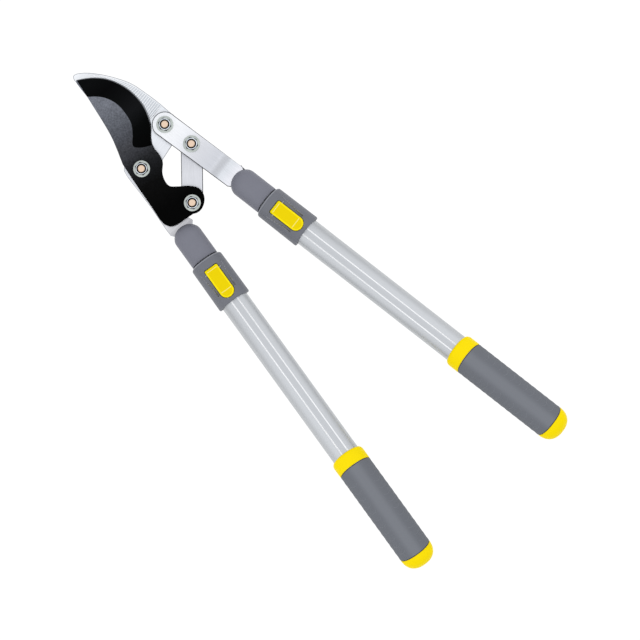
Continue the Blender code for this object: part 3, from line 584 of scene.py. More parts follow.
def linked(name: str, data: bpy.types.ID) -> bpy.types.Object:
    """A new object in the scene."""
    thing = bpy.data.objects.new(name, data)
    bpy.context.scene.collection.objects.link(thing)
    return thing


def join_loops(work: bmesh.types.BMesh, loops: Sequence[Sequence[Place]],
               caps: bool = True) -> None:
    """Join loops of equal length by quads into a closed body.

    Args:
        work: The mesh that gets the body.
        loops: The loops, in order.
        caps: Whether flat ends close it; otherwise the last loop joins the first.
    """
    rings = [[work.verts.new(point) for point in loop] for loop in loops]
    pairs = list(zip(rings, rings[1:]))
    if not caps:
        pairs.append((rings[-1], rings[0]))
    for lower, upper in pairs:
        for index in range(len(lower)):
            after = (index + 1) % len(lower)
            work.faces.new((lower[index], lower[after], upper[after], upper[index]))
    if caps:
        work.faces.new(rings[0][::-1])
        work.faces.new(rings[-1])


def loft(loops: Sequence[Sequence[Place]], caps: bool = True) -> bmesh.types.BMesh:
    """A new mesh with one closed body through loops of equal length."""
    work = bmesh.new()
    join_loops(work, loops, caps)
    return work


def shade(mesh: bpy.types.Mesh, smooth: float) -> None:
    """Shade a mesh smoothly up to an angle, but keep its many-cornered faces flat."""
    mesh.shade_smooth()
    mesh.set_sharp_from_angle(angle=smooth)
    for face in mesh.polygons:
        if len(face.vertices) > 8:
            face.use_smooth = False


def finished(name: str, work: bmesh.types.BMesh, finishes: Sequence[Finish],
             smooth: float = SMOOTH_ANGLE) -> bpy.types.Object:
    """Turn a mesh in millimetres into a piece at the origin, with its place in its mesh.

    Args:
        name: The piece's name.
        work: Its mesh, used up here.
        finishes: Its finishes, by the numbers on its faces.
        smooth: Edges bent by more than this angle stay sharp.

    Returns:
        The piece.
    """
    bmesh.ops.recalc_face_normals(work, faces=work.faces)
    bmesh.ops.scale(work, vec=(MM, MM, MM), verts=work.verts)
    mesh = bpy.data.meshes.new(name)
    work.to_mesh(mesh)
    work.free()
    shade(mesh, smooth)
    piece = linked(name, mesh)
    for finish in finishes:
        mesh.materials.append(finish.material())
    return piece


def evaluated(piece: bpy.types.Object) -> bpy.types.Mesh:
    """The mesh that a piece's modifiers make; they are then removed from it."""
    bpy.context.view_layer.update()
    graph = bpy.context.evaluated_depsgraph_get()
    mesh = bpy.data.meshes.new_from_object(piece.evaluated_get(graph))
    piece.modifiers.clear()
    return mesh


def cut(piece: bpy.types.Object, tools: Sequence[bmesh.types.BMesh],
        operation: str = "DIFFERENCE", smooth: float = SMOOTH_ANGLE) -> None:
    """Cut closed shapes out of a piece, or join them to it, and clean the result.

    Args:
        piece: The piece that changes.
        tools: Closed meshes in millimetres, used up by the cut.
        operation: The Boolean's name.
        smooth: Edges bent by more than this angle stay sharp.
    """
    for number, work in enumerate(tools):
        tool = finished(f"{piece.name}_tool_{number}", work, ())
        modifier = piece.modifiers.new("cut", "BOOLEAN")
        modifier.operation = operation
        modifier.solver = "EXACT"
        modifier.object = tool
        piece.data = evaluated(piece)
        bpy.data.objects.remove(tool, do_unlink=True)
    shade(piece.data, smooth)


def repaint(piece: bpy.types.Object, number: int,
            rule: Callable[[Vector, Vector], bool]) -> None:
    """Give another finish to the faces that a rule picks.

    Args:
        piece: The piece.
        number: The finish's number.
        rule: Says yes or no by a face's centre in millimetres and its normal.
    """
    for face in piece.data.polygons:
        if rule(face.center / MM, face.normal):
            face.material_index = number


def is_edge_or_rim(centre: Vector, normal: Vector) -> bool:
    """Whether a plate's face belongs to its sheared wall or the rounded rim beside it, which get
    a darker finish that partly paints the shade along the rim.
    """
    return abs(normal.z) < 0.98


def prism(outline: Sequence[Flat], low: float, high: float) -> bmesh.types.BMesh:
    """An upright prism over an outline."""
    return loft([[(x, y, height) for x, y in outline] for height in (low, high)])


def drill(centre: Flat, radius: float) -> bmesh.types.BMesh:
    """An upright cylinder that cuts a hole through everything."""
    circle = arc(centre, radius, 0.0, 360.0 - 360.0 / ROUND_SIDES, ROUND_SIDES - 1)
    return prism(circle, 0.0, CUT_TOP)


def turned(centre: Flat, profile: Sequence[Flat],
           shape: Callable[[float, float], float] | None = None,
           caps: bool = False) -> bmesh.types.BMesh:
    """Turn a profile of radius and height about an upright axis.

    Args:
        centre: The axis.
        profile: Radius and height of each loop.
        shape: Changes a radius by its angle, for a body that isn't round.
        caps: Whether flat ends close it; otherwise it is a ring.

    Returns:
        The body's mesh in millimetres.
    """
    loops = []
    for radius, height in profile:
        loop = []
        for index in range(TURNED_SIDES):
            angle = 2.0 * math.pi * index / TURNED_SIDES
            reach = shape(radius, angle) if shape else radius
            loop.append((centre[0] + reach * math.cos(angle),
                         centre[1] + reach * math.sin(angle), height))
        loops.append(loop)
    return loft(loops, caps)


def rounded_plate(outline: Sequence[Flat], low: float, high: float,
                  rim: float) -> bmesh.types.BMesh:
    """A flat plate whose edges are rounded off above and below.

    Args:
        outline: The plate's outline, anticlockwise.
        low: Height of its underside.
        high: Height of its upper side.
        rim: Radius of the rounded edge.

    Returns:
        The plate's mesh in millimetres.
    """
    quarter = [math.radians(angle) for angle in (90.0, 60.0, 30.0, 0.0)]
    # The first step holds the flat face's shading clear of the rounding.
    steps = [(rim + 0.5, 0.0)]
    steps += [(rim * (1.0 - math.cos(angle)), rim * (1.0 - math.sin(angle)))
              for angle in quarter]
    loops = []
    for inward, drop in steps:
        loops.append([(x, y, low + drop) for x, y in inset(outline, inward)])
    for inward, drop in steps[::-1]:
        loops.append([(x, y, high - drop) for x, y in inset(outline, inward)])
    return loft(loops)


def anticlockwise(outline: Sequence[Flat]) -> list[Flat]:
    """The same outline, turned round if it runs clockwise."""
    area = sum(a[0] * b[1] - b[0] * a[1] for a, b in zip(outline, [*outline[1:], outline[0]]))
    return list(outline) if area > 0.0 else list(outline)[::-1]


def settle(piece: bpy.types.Object, body: Body, slot: Slot, *nodes: str) -> None:
    """Tie a finished piece to its body and hide the CAD nodes that it stands for."""
    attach(piece, body.value)
    if nodes:
        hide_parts(*nodes)
    LOG.info("%s: %d faces, rides on %s", piece.name, len(piece.data.polygons), body.value)


# ---- geometry nodes

@dataclass
class NodeShape:
    """A Geometry Nodes tree with named inputs, and the mesh that it makes."""

    title: str
    inputs: dict[str, tuple[str, object]]
    tree: bpy.types.NodeTree = field(init=False)
    source: bpy.types.Node = field(init=False)

    def __post_init__(self) -> None:
        """Open the tree with its geometry sockets and its own named inputs."""
        self.tree = bpy.data.node_groups.new(self.title, "GeometryNodeTree")
        face = self.tree.interface
        face.new_socket("Geometry", in_out="INPUT", socket_type="NodeSocketGeometry")
        for name, (kind, _) in self.inputs.items():
            face.new_socket(name, in_out="INPUT", socket_type=kind)
        face.new_socket("Geometry", in_out="OUTPUT", socket_type="NodeSocketGeometry")
        self.source = self.tree.nodes.new("NodeGroupInput")

    def given(self, name: str) -> bpy.types.NodeSocket:
        """The tree's own input of that name."""
        return self.source.outputs[name]

    def close(self, shape: bpy.types.NodeSocket) -> None:
        """End the tree: real geometry, with the finish on it."""
        real = add(self.tree, "GeometryNodeRealizeInstances", {0: shape})
        dressed = add(self.tree, "GeometryNodeSetMaterial",
                      {"Geometry": real, "Material": self.given("Finish")})
        smooth = add(self.tree, "GeometryNodeSetShadeSmooth", {0: dressed})
        add(self.tree, "NodeGroupOutput", {0: smooth})

    def grow(self, name: str, seed: bpy.types.Object) -> bpy.types.Object:
        """Run the tree on a seed object and keep the result as a plain mesh.

        Args:
            name: The new piece's name.
            seed: The object that the tree starts from; it is used up.

        Returns:
            The finished piece, at the origin.
        """
        modifier = seed.modifiers.new(self.title, "NODES")
        modifier.node_group = self.tree
        for item in self.tree.interface.items_tree:
            if item.in_out == "INPUT" and item.name in self.inputs:
                modifier[item.identifier] = self.inputs[item.name][1]
        mesh = evaluated(seed)
        mesh.name = name
        piece = linked(name, mesh)
        bpy.data.objects.remove(seed, do_unlink=True)
        return piece


def guide(name: str, *chains: Sequence[Place]) -> bpy.types.Object:
    """Chains of edges through places in millimetres, for a tree to start from."""
    mesh = bpy.data.meshes.new(name)
    places = []
    edges = []
    for chain in chains:
        first = len(places)
        places += [Vector(place) * MM for place in chain]
        edges += [(index, index + 1) for index in range(first, len(places) - 1)]
    mesh.from_pydata(places, edges, [])
    return linked(name, mesh)


# ---- head

@dataclass
class Head:
    """The four steel plates: hook, blade, lever and link."""

    rim: float = 0.75
    bolt_hole: float = 4.3
    tang_half: float = 10.0
    tang_shoulder: float = 84.0
    tang_end: float = 150.0
    hook_arm: float = 13.9
    lever_end: float = 14.1
    link_half: float = 11.9
    link_play: float = 5.7
    joggle: Flat = (50.0, 65.0)
    ground_edge: float = 1.9
    edge_height: float = 0.35
    spine_chamfer: Flat = (0.9, 0.8)
    blade_smooth: float = math.radians(14.0)
    rib_spacing: float = 2.6
    rib_width: float = 1.5
    rib_height: float = 0.4
    origin: Vector = field(init=False)

    def __post_init__(self) -> None:
        """Take the head frame's origin and the plates' heights from the CAD."""
        low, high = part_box("main_bolt")
        centre = (low + high) / (2.0 * MM)
        self.origin = Vector((centre.x - MAIN_PIVOT[0], centre.y - MAIN_PIVOT[1], 0.0))
        self.lower = heights("toggle_link")
        self.upper = heights("cutting_blade")

    def spot(self, x: float, y: float) -> Place:
        """Model place in metres of a point in the head frame."""
        return tuple((self.origin + Vector((x, y, 0.0))) * MM)

    def moved(self, outline: Sequence[Flat]) -> list[Flat]:
        """An outline of the head frame, in the model's millimetres."""
        return [(self.origin.x + x, self.origin.y + y) for x, y in outline]

    def holes(self, *places: tuple[Flat, float]) -> list[bmesh.types.BMesh]:
        """Cutters for round holes, each with its centre in the head frame and radius."""
        return [drill(self.moved([centre])[0], radius) for centre, radius in places]

    def tang(self, handle: Handle, shoulders: Flat) -> list[Flat]:
        """The plate's end inside a handle, left side first, in the model's millimetres."""
        neck = [(self.tang_half + 2.0, self.tang_shoulder - 3.2),
                (self.tang_half, self.tang_shoulder), (self.tang_half, self.tang_end - 3.0),
                (self.tang_half - 3.0, self.tang_end)]
        left = [(-shoulders[0], 77.0)] + [(-across, station) for across, station in neck]
        right = neck[::-1] + [(shoulders[1], 77.0)]
        return [handle.place(across, station, 0.0)[:2] for across, station in left + right]

    def build_hook(self, handle: Handle, finishes: Sequence[Finish]) -> None:
        """The hook plate, whose tang runs into the left handle.

        Args:
            handle: The left handle.
            finishes: The plate's face, and its edge and rim, darkened in part by painted shade.
        """
        outline = self.moved(curve_through(HOOK_OUTER, 6)
                             + arc(LEVER_PIVOT, self.hook_arm, 8.0, -68.0, 14) + HOOK_WEB
                             + curve_through(HOOK_SHANK_INNER, 5))
        outline += self.tang(handle, (15.0, 15.0))[::-1]
        outline += self.moved(curve_through(HOOK_SHANK_OUTER, 5) + curve_through(HOOK_JAW, 6))
        work = rounded_plate(anticlockwise(outline), *self.lower, self.rim)
        hook = finished("hook_plate_finished", work, finishes)
        cut(hook, self.holes((MAIN_PIVOT, self.bolt_hole), (LEVER_PIVOT, self.bolt_hole)))
        # The wall and rounded rim get the darker edge finish, painted shade along the rim.
        repaint(hook, 1, is_edge_or_rim)
        settle(hook, Body.HEAD, Slot.BRIGHT_STEEL, "hook_plate")

    def build_band(self, floor: Finish, chains: Sequence[Sequence[Flat]]) -> None:
        """The milled band on the hook's jaw, between its outer and inner chain, in painted
        shade.
        """
        top = self.lower[1]
        loops = []
        for near, far in zip(resample(chains[0], 60), resample(chains[1], 60)):
            loops.append([(*near, top - 0.1), (*far, top - 0.1), (*far, top + 0.03),
                          (*near, top + 0.03)])
        band = finished("hook_jaw_milled_band", loft(loops), [floor])
        settle(band, Body.HEAD, Slot.BRIGHT_STEEL)

    def build_ribs(self, finish: Finish, floor: Finish) -> None:
        """Milled ribs across the hook's jaw, spaced between its outer and inner edges.

        Args:
            finish: Finish of the ribs, a painted highlight.
            floor: Finish of the milled band that they stand on, painted shade.
        """
        outer = curve_through([(64.8, 36.5)] + HOOK_OUTER[4:9][::-1], 6)
        inner = curve_through([(31.0, 34.0)] + HOOK_JAW[3:], 6)
        chains = [self.moved(inset(outer, 1.7, closed=False)),
                  self.moved(inset(inner, -1.3, closed=False))]
        self.build_band(floor, chains)
        rails = [guide(name, [(x, y, self.lower[1]) for x, y in chain])
                 for name, chain in zip(("outer_rail", "inner_rail"), chains)]
        shape = NodeShape("ribs_between_rails", {
            "Inner rail": ("NodeSocketObject", rails[1]),
            "Spacing": ("NodeSocketFloat", self.rib_spacing * MM),
            "Width": ("NodeSocketFloat", self.rib_width * MM),
            "Height": ("NodeSocketFloat", self.rib_height * MM),
            "Finish": ("NodeSocketMaterial", finish.material())})
        tree = shape.tree
        near = add(tree, "GeometryNodeMeshToCurve", {0: shape.given("Geometry")})
        spaced = add(tree, "GeometryNodeResampleCurve",
                     {"Curve": near, "Length": shape.given("Spacing")}, mode="LENGTH")
        other = add(tree, "GeometryNodeObjectInfo", {"Object": shape.given("Inner rail")})
        far = add(tree, "GeometryNodeMeshToCurve", {0: other.outputs["Geometry"]})
        share = add(tree, "GeometryNodeSplineParameter")
        ends = add(tree, "GeometryNodeSampleCurve",
                   {"Curves": far, "Factor": share.outputs["Factor"]}, mode="FACTOR")
        here = add(tree, "GeometryNodeInputPosition")
        reach = add(tree, "ShaderNodeVectorMath",
                    {0: ends.outputs["Position"], 1: here}, operation="SUBTRACT")
        length = add(tree, "ShaderNodeVectorMath", {0: reach}, operation="LENGTH")
        heading = add(tree, "FunctionNodeAlignRotationToVector",
                      {"Vector": reach}, axis="X", pivot_axis="Z")
        line = add(tree, "GeometryNodeCurvePrimitiveLine", {"End": (1.0, 0.0, 0.0)})
        half = add(tree, "ShaderNodeMath", {0: shape.given("Width"), 1: 0.5},
                   operation="MULTIPLY")
        section = add(tree, "GeometryNodeCurvePrimitiveCircle",
                      {"Resolution": 10, "Radius": half})
        bar = add(tree, "GeometryNodeCurveToMesh",
                  {"Curve": line, "Profile Curve": section, "Fill Caps": True})
        flatness = add(tree, "ShaderNodeMath",
                       {0: shape.given("Height"), 1: half}, operation="DIVIDE")
        squash = add(tree, "ShaderNodeCombineXYZ", {0: 1.0, 1: 1.0, 2: flatness})
        rib = add(tree, "GeometryNodeTransform", {"Geometry": bar, "Scale": squash})
        scale = add(tree, "ShaderNodeCombineXYZ", {0: length.outputs["Value"], 1: 1.0, 2: 1.0})
        placed = add(tree, "GeometryNodeInstanceOnPoints",
                     {"Points": spaced, "Instance": rib, "Rotation": heading, "Scale": scale})
        shape.close(placed.outputs[0])
        ribs = shape.grow("hook_jaw_ribs", rails[0])
        bpy.data.objects.remove(rails[1], do_unlink=True)
        settle(ribs, Body.HEAD, Slot.BRIGHT_STEEL)

    def build_blade(self, finishes: Sequence[Finish]) -> None:
        """The blade: flat below, hollow ground above, with a bright ground edge.

        Args:
            finishes: The coated flat, the coated bevel and the bare ground edge.
        """
        low, top = self.upper
        count = 90
        edge = resample(curve_through(BLADE_EDGE, 8), count)
        bevel = resample(curve_through(BLADE_BEVEL, 8), count)
        tip = curve_through(BLADE_TIP, 6)
        back = curve_through(BLADE_SPINE, 8) + curve_through(BLADE_BACK, 4)
        back += curve_through(BLADE_TAIL, 8)
        edge_z = low + self.edge_height
        rows = []
        for share in (0.0, 0.06, 0.16, 0.30, 0.46, 0.64, 0.82, 1.0):
            height = edge_z + 0.5 + (top - edge_z - 0.5) * (1.0 - share) ** 1.5
            row = []
            for index, (near, far) in enumerate(zip(bevel, edge)):
                run = Vector(far) - Vector(near)
                strip = self.ground_edge * (1.0 - 0.6 * index / count)
                reach = max(run.length - strip, 0.0) / max(run.length, 1e-6)
                place = Vector(near) + run * reach * share
                row.append((place.x, place.y, height))
            rows.append(row)
        rows.append([(x, y, edge_z) for x, y in edge])
        work = bmesh.new()
        grid = [[work.verts.new(place) for place in row] for row in rows]
        for row, (near, far) in enumerate(zip(grid, grid[1:])):
            for index in range(count - 1):
                face = work.faces.new((near[index], near[index + 1], far[index + 1],
                                       far[index]))
                face.material_index = 2 if row == len(grid) - 2 else 1
        edge_low = [work.verts.new((x, y, low)) for x, y in edge]
        chamfer, drop = self.spine_chamfer
        shoulder = inset(back, chamfer, closed=False)
        back_low = [work.verts.new((x, y, low)) for x, y in back]
        back_high = [work.verts.new((x, y, top - drop)) for x, y in back]
        back_top = [grid[0][-1]] + [work.verts.new((x, y, top)) for x, y in shoulder[1:]]
        self.skin(work, [back_low, back_high, back_top])
        work.faces.new([*grid[0], *back_top[1:]])
        tip_low = [work.verts.new((x, y, low)) for x, y in tip[1:-1]]
        tip_high = []
        for index, (x, y) in enumerate(tip[1:-1], start=1):
            fall = (top - drop - edge_z) * index / (len(tip) - 1)
            tip_high.append(work.verts.new((x, y, top - drop - fall)))
        self.skin(work, [edge_low, grid[-1]], material=2)
        low_rim = [*back_low, *edge_low, *tip_low[::-1]]
        work.faces.new(low_rim[::-1])
        work.faces.new([*[row[-1] for row in grid], *tip_high[::-1], back_high[0]])
        self.skin(work, [[back_low[0], *tip_low, edge_low[-1]],
                         [back_high[0], *tip_high, grid[-1][-1]]])
        heel = [*[row[0] for row in grid], edge_low[0], back_low[-1], back_high[-1],
                back_top[-1]]
        work.faces.new(heel[::-1])
        for vert in work.verts:
            vert.co += self.origin
        blade = finished("cutting_blade_finished", work, finishes)
        cut(blade, self.holes((MAIN_PIVOT, self.bolt_hole), (BLADE_LINK_PIVOT, self.bolt_hole)),
            smooth=self.blade_smooth)
        settle(blade, Body.BLADE, Slot.COATED_STEEL, "cutting_blade")

    @staticmethod
    def skin(work: bmesh.types.BMesh, chains: Sequence[Sequence[bmesh.types.BMVert]],
             material: int = 0) -> None:
        """Join open chains of equal length by quads."""
        for lower, upper in zip(chains, chains[1:]):
            for index in range(len(lower) - 1):
                face = work.faces.new((lower[index], lower[index + 1], upper[index + 1],
                                       upper[index]))
                face.material_index = material

    def build_lever(self, handle: Handle, finishes: Sequence[Finish]) -> None:
        """The lever plate, joggled down to meet the right handle's middle plane.

        Args:
            handle: The right handle.
            finishes: The plate's face, and its sheared edge and rim, darkened in part by painted
                shade.
        """
        outline = self.moved(arc(LEVER_PIVOT, self.lever_end, 0.0, 180.0, 40)
                             + [LEVER_LEFT_SIDE])
        outline += self.tang(handle, (14.3, 12.9)) + self.moved([LEVER_RIGHT_SIDE])
        work = rounded_plate(anticlockwise(outline), *self.upper, self.rim)
        start, end = self.joggle
        steps = 16
        for step in range(steps + 1):
            station = start + (end - start) * step / steps
            bmesh.ops.bisect_plane(work, geom=work.verts[:] + work.edges[:] + work.faces[:],
                                   plane_co=handle.place(0.0, station, 0.0),
                                   plane_no=handle.along)
        for vert in work.verts:
            station = (vert.co - handle.origin).dot(handle.along)
            vert.co.z -= (self.upper[0] - self.lower[0]) * ease(station, start, end)
        lever = finished("lever_plate_finished", work, finishes)
        cut(lever, self.holes((LEVER_PIVOT, self.bolt_hole),
                              (LEVER_LINK_PIVOT, self.bolt_hole)))

        def is_lever_edge(centre: Vector, normal: Vector) -> bool:
            """The same as on the other plates, but not the joggle's slopes."""
            station = (centre - handle.origin).dot(handle.along)
            if start - 1.0 < station < end + 1.0:
                return abs(normal.dot(handle.right)) > 0.15
            return is_edge_or_rim(centre, normal)

        # The wall and rounded rim get the dark edge finish, painted shade along the rim.
        repaint(lever, 1, is_lever_edge)
        settle(lever, Body.LEVER, Slot.BRIGHT_STEEL, "lever_plate")

    def build_link(self, finishes: Sequence[Finish]) -> None:
        """The toggle link between the lever plate and the blade's tail.

        Args:
            finishes: The plate's face, and its sheared edge and rim, darkened in part by painted
                shade.
        """
        run = Vector(BLADE_LINK_PIVOT) - Vector(LEVER_LINK_PIVOT)
        heading = math.degrees(math.atan2(run.y, run.x))
        outline = arc(LEVER_LINK_PIVOT, self.link_half, heading + 90.0, heading + 270.0, 32)
        outline += arc(BLADE_LINK_PIVOT, self.link_half, heading - 90.0, heading + 90.0, 32)
        work = rounded_plate(anticlockwise(self.moved(outline)), *self.lower, self.rim)
        link = finished("toggle_link_finished", work, finishes)
        cut(link, self.holes((LEVER_LINK_PIVOT, self.bolt_hole),
                             (BLADE_LINK_PIVOT, self.link_play)))
        # The wall and rounded rim get the dark edge finish, painted shade along the rim.
        repaint(link, 1, is_edge_or_rim)
        settle(link, Body.LINK, Slot.BRIGHT_STEEL, "toggle_link")


# ---- pivots

@dataclass
class PivotStack:
    """A bolt from below with a washer, a lock nut and the nut's nylon insert."""

    name: str
    body: Body
    bolt: Finish
    plating: Finish
    # The collar's finish is a painted highlight; the flanks' finish is painted shade.
    collar: Finish
    flank_shade: Finish
    insert: Finish
    shank: float = 4.0
    thread_pitch: float = 1.25
    thread_depth: float = 0.45
    hex_corner: float = 7.6
    washer: Flat = (4.3, 9.3)

    def __post_init__(self) -> None:
        """Take the stack's centre and heights from the CAD."""
        self.heights = {part: heights(f"{self.name}_{part}")
                        for part in ("bolt", "washer", "nut", "nut_insert")}
        self.centre = plan_centre(f"{self.name}_nut_insert")

    def piece(self, part: str, work: bmesh.types.BMesh,
              *finishes: Finish) -> bpy.types.Object:
        """A finished piece of the stack."""
        return finished(f"{self.name}_{part}_finished", work, finishes)

    def tie(self, piece: bpy.types.Object, part: str, slot: Slot = Slot.ZINC_STEEL) -> None:
        """Tie a piece to the stack's body and hide its CAD node."""
        settle(piece, self.body, slot, f"{self.name}_{part}")

    def hexagon(self, radius: float, angle: float) -> float:
        """Reach of a chamfered hexagon: its flats, cut back to a cone of that radius."""
        from_flat = (angle % (math.pi / 3.0)) - math.pi / 6.0
        flat = self.hex_corner * math.cos(math.pi / 6.0) / math.cos(from_flat)
        return min(flat, radius)

    def build(self) -> None:
        """Build the four pieces of the stack."""
        self.build_bolt()
        self.build_washer()
        self.build_nut()
        self.build_insert()

    def build_bolt(self) -> None:
        """The bolt: a low round head below, and a thread where the nut sits."""
        low, high = self.heights["bolt"]
        head = self.washer[1] - 0.7
        head_top = low + 4.6
        core = self.shank - self.thread_depth
        thread_start = self.heights["nut"][0] - 1.0
        profile = [(head - 1.2, low), (head - 0.5, low + 0.25), (head - 0.15, low + 0.8),
                   (head, low + 1.6), (head, head_top - 0.3), (head - 0.3, head_top),
                   (self.shank, head_top), (self.shank, thread_start - 0.4),
                   (core, thread_start), (core, high - 0.35), (core - 0.35, high - 0.05),
                   (core - 0.8, high)]
        work = turned(self.centre, profile, caps=True)
        self.tie(self.piece("bolt", work, self.bolt), "bolt")
        turns = (high - 0.5 - thread_start) / self.thread_pitch
        shape = NodeShape("bolt_thread", {
            "Radius": ("NodeSocketFloat", core * MM),
            "Rise": ("NodeSocketFloat", turns * self.thread_pitch * MM),
            "Turns": ("NodeSocketFloat", turns),
            "Depth": ("NodeSocketFloat", self.thread_depth * MM),
            "Finish": ("NodeSocketMaterial", self.bolt.material())})
        tree = shape.tree
        helix = add(tree, "GeometryNodeCurveSpiral",
                    {"Resolution": 32, "Rotations": shape.given("Turns"),
                     "Start Radius": shape.given("Radius"),
                     "End Radius": shape.given("Radius"), "Height": shape.given("Rise")})
        crest = add(tree, "GeometryNodeCurvePrimitiveCircle",
                    {"Resolution": 4, "Radius": shape.given("Depth")})
        thread = add(tree, "GeometryNodeCurveToMesh",
                     {"Curve": helix, "Profile Curve": crest, "Fill Caps": True})
        spot = add(tree, "GeometryNodeInputPosition")
        seeded = add(tree, "GeometryNodeSampleIndex",
                     {"Geometry": shape.given("Geometry"), "Value": spot},
                     data_type="FLOAT_VECTOR", domain="POINT")
        raised = add(tree, "GeometryNodeTransform", {"Geometry": thread, "Translation": seeded})
        shape.close(raised.outputs[0])
        seed = guide(f"{self.name}_thread_seed", [(*self.centre, thread_start)])
        piece = shape.grow(f"{self.name}_bolt_thread", seed)
        settle(piece, self.body, Slot.ZINC_STEEL)

    def build_washer(self) -> None:
        """A stamped washer with softly rolled edges."""
        low, high = self.heights["washer"]
        inner, outer = self.washer
        profile = [(inner, low + 0.1), (inner + 0.1, low), (outer - 0.2, low),
                   (outer, low + 0.3), (outer, high - 0.4), (outer - 0.12, high - 0.12),
                   (outer - 0.4, high), (inner + 0.2, high), (inner, high - 0.2)]
        work = turned(self.centre, profile)
        self.tie(self.piece("washer", work, self.plating), "washer")

    def build_nut(self) -> None:
        """A lock nut: hexagon in painted shade, collar in a painted highlight, crimped over the
        insert.
        """
        low, high = self.heights["nut"]
        insert_low = self.heights["nut_insert"][0]
        seat = insert_low - 0.2
        corner = self.hex_corner
        bore = self.shank + 0.3
        collar = 6.3
        profile = [(corner - 0.7, low), (corner, low + 0.45), (corner, seat - 1.3),
                   (corner - 0.3, seat - 0.9), (corner - 0.7, seat - 0.4),
                   (collar + 0.1, seat), (collar, seat + 0.2), (collar, high - 0.7),
                   (collar - 0.1, high - 0.4), (collar - 0.3, high - 0.12),
                   (collar - 0.55, high), (collar - 0.85, high - 0.02),
                   (collar - 1.0, high - 0.3), (collar - 1.0, seat), (bore, seat),
                   (bore, low + 0.3), (bore + 0.3, low)]
        work = turned(self.centre, profile, self.hexagon)
        nut = self.piece("nut", work, self.collar, self.flank_shade)
        # The hexagon and the seat below the collar get painted shade.
        axis = Vector((*self.centre, 0.0))
        repaint(nut, 1, lambda centre, normal: centre.z < seat + 0.1
                or (centre - axis).to_2d().length > collar + 0.2)
        self.tie(nut, "nut")

    def build_insert(self) -> None:
        """The black nylon ring that grips the thread."""
        low, high = self.heights["nut_insert"]
        bore = self.shank + 0.1
        profile = [(bore, low), (5.25, low), (5.25, high - 0.3), (4.95, high - 0.05),
                   (bore + 0.4, high - 0.1), (bore, high - 0.5)]
        work = turned(self.centre, profile)
        self.tie(self.piece("nut_insert", work, self.insert), "nut_insert", Slot.BLACK_NYLON)


# ---- handles

@dataclass(frozen=True)
class Oval:
    """A flattened round section, given by its half width and its reach up and down."""

    half_width: float
    up: float
    down: float
    power: float = 2.3

    def point(self, angle: float) -> tuple[float, float, float]:
        """Across, height and share of full height of the section at an angle."""
        side = math.copysign(abs(math.cos(angle)) ** (2.0 / self.power), math.cos(angle))
        rise = math.copysign(abs(math.sin(angle)) ** (2.0 / self.power), math.sin(angle))
        return self.half_width * side, rise * (self.up if rise > 0.0 else self.down), rise

    def smaller(self, margin: float) -> Oval:
        """The same section with a margin off all round."""
        return Oval(self.half_width - margin, self.up - margin, self.down - margin, self.power)

    def scaled(self, scale: float) -> Oval:
        """The same section at another scale."""
        return Oval(self.half_width * scale, self.up * scale, self.down * scale, self.power)


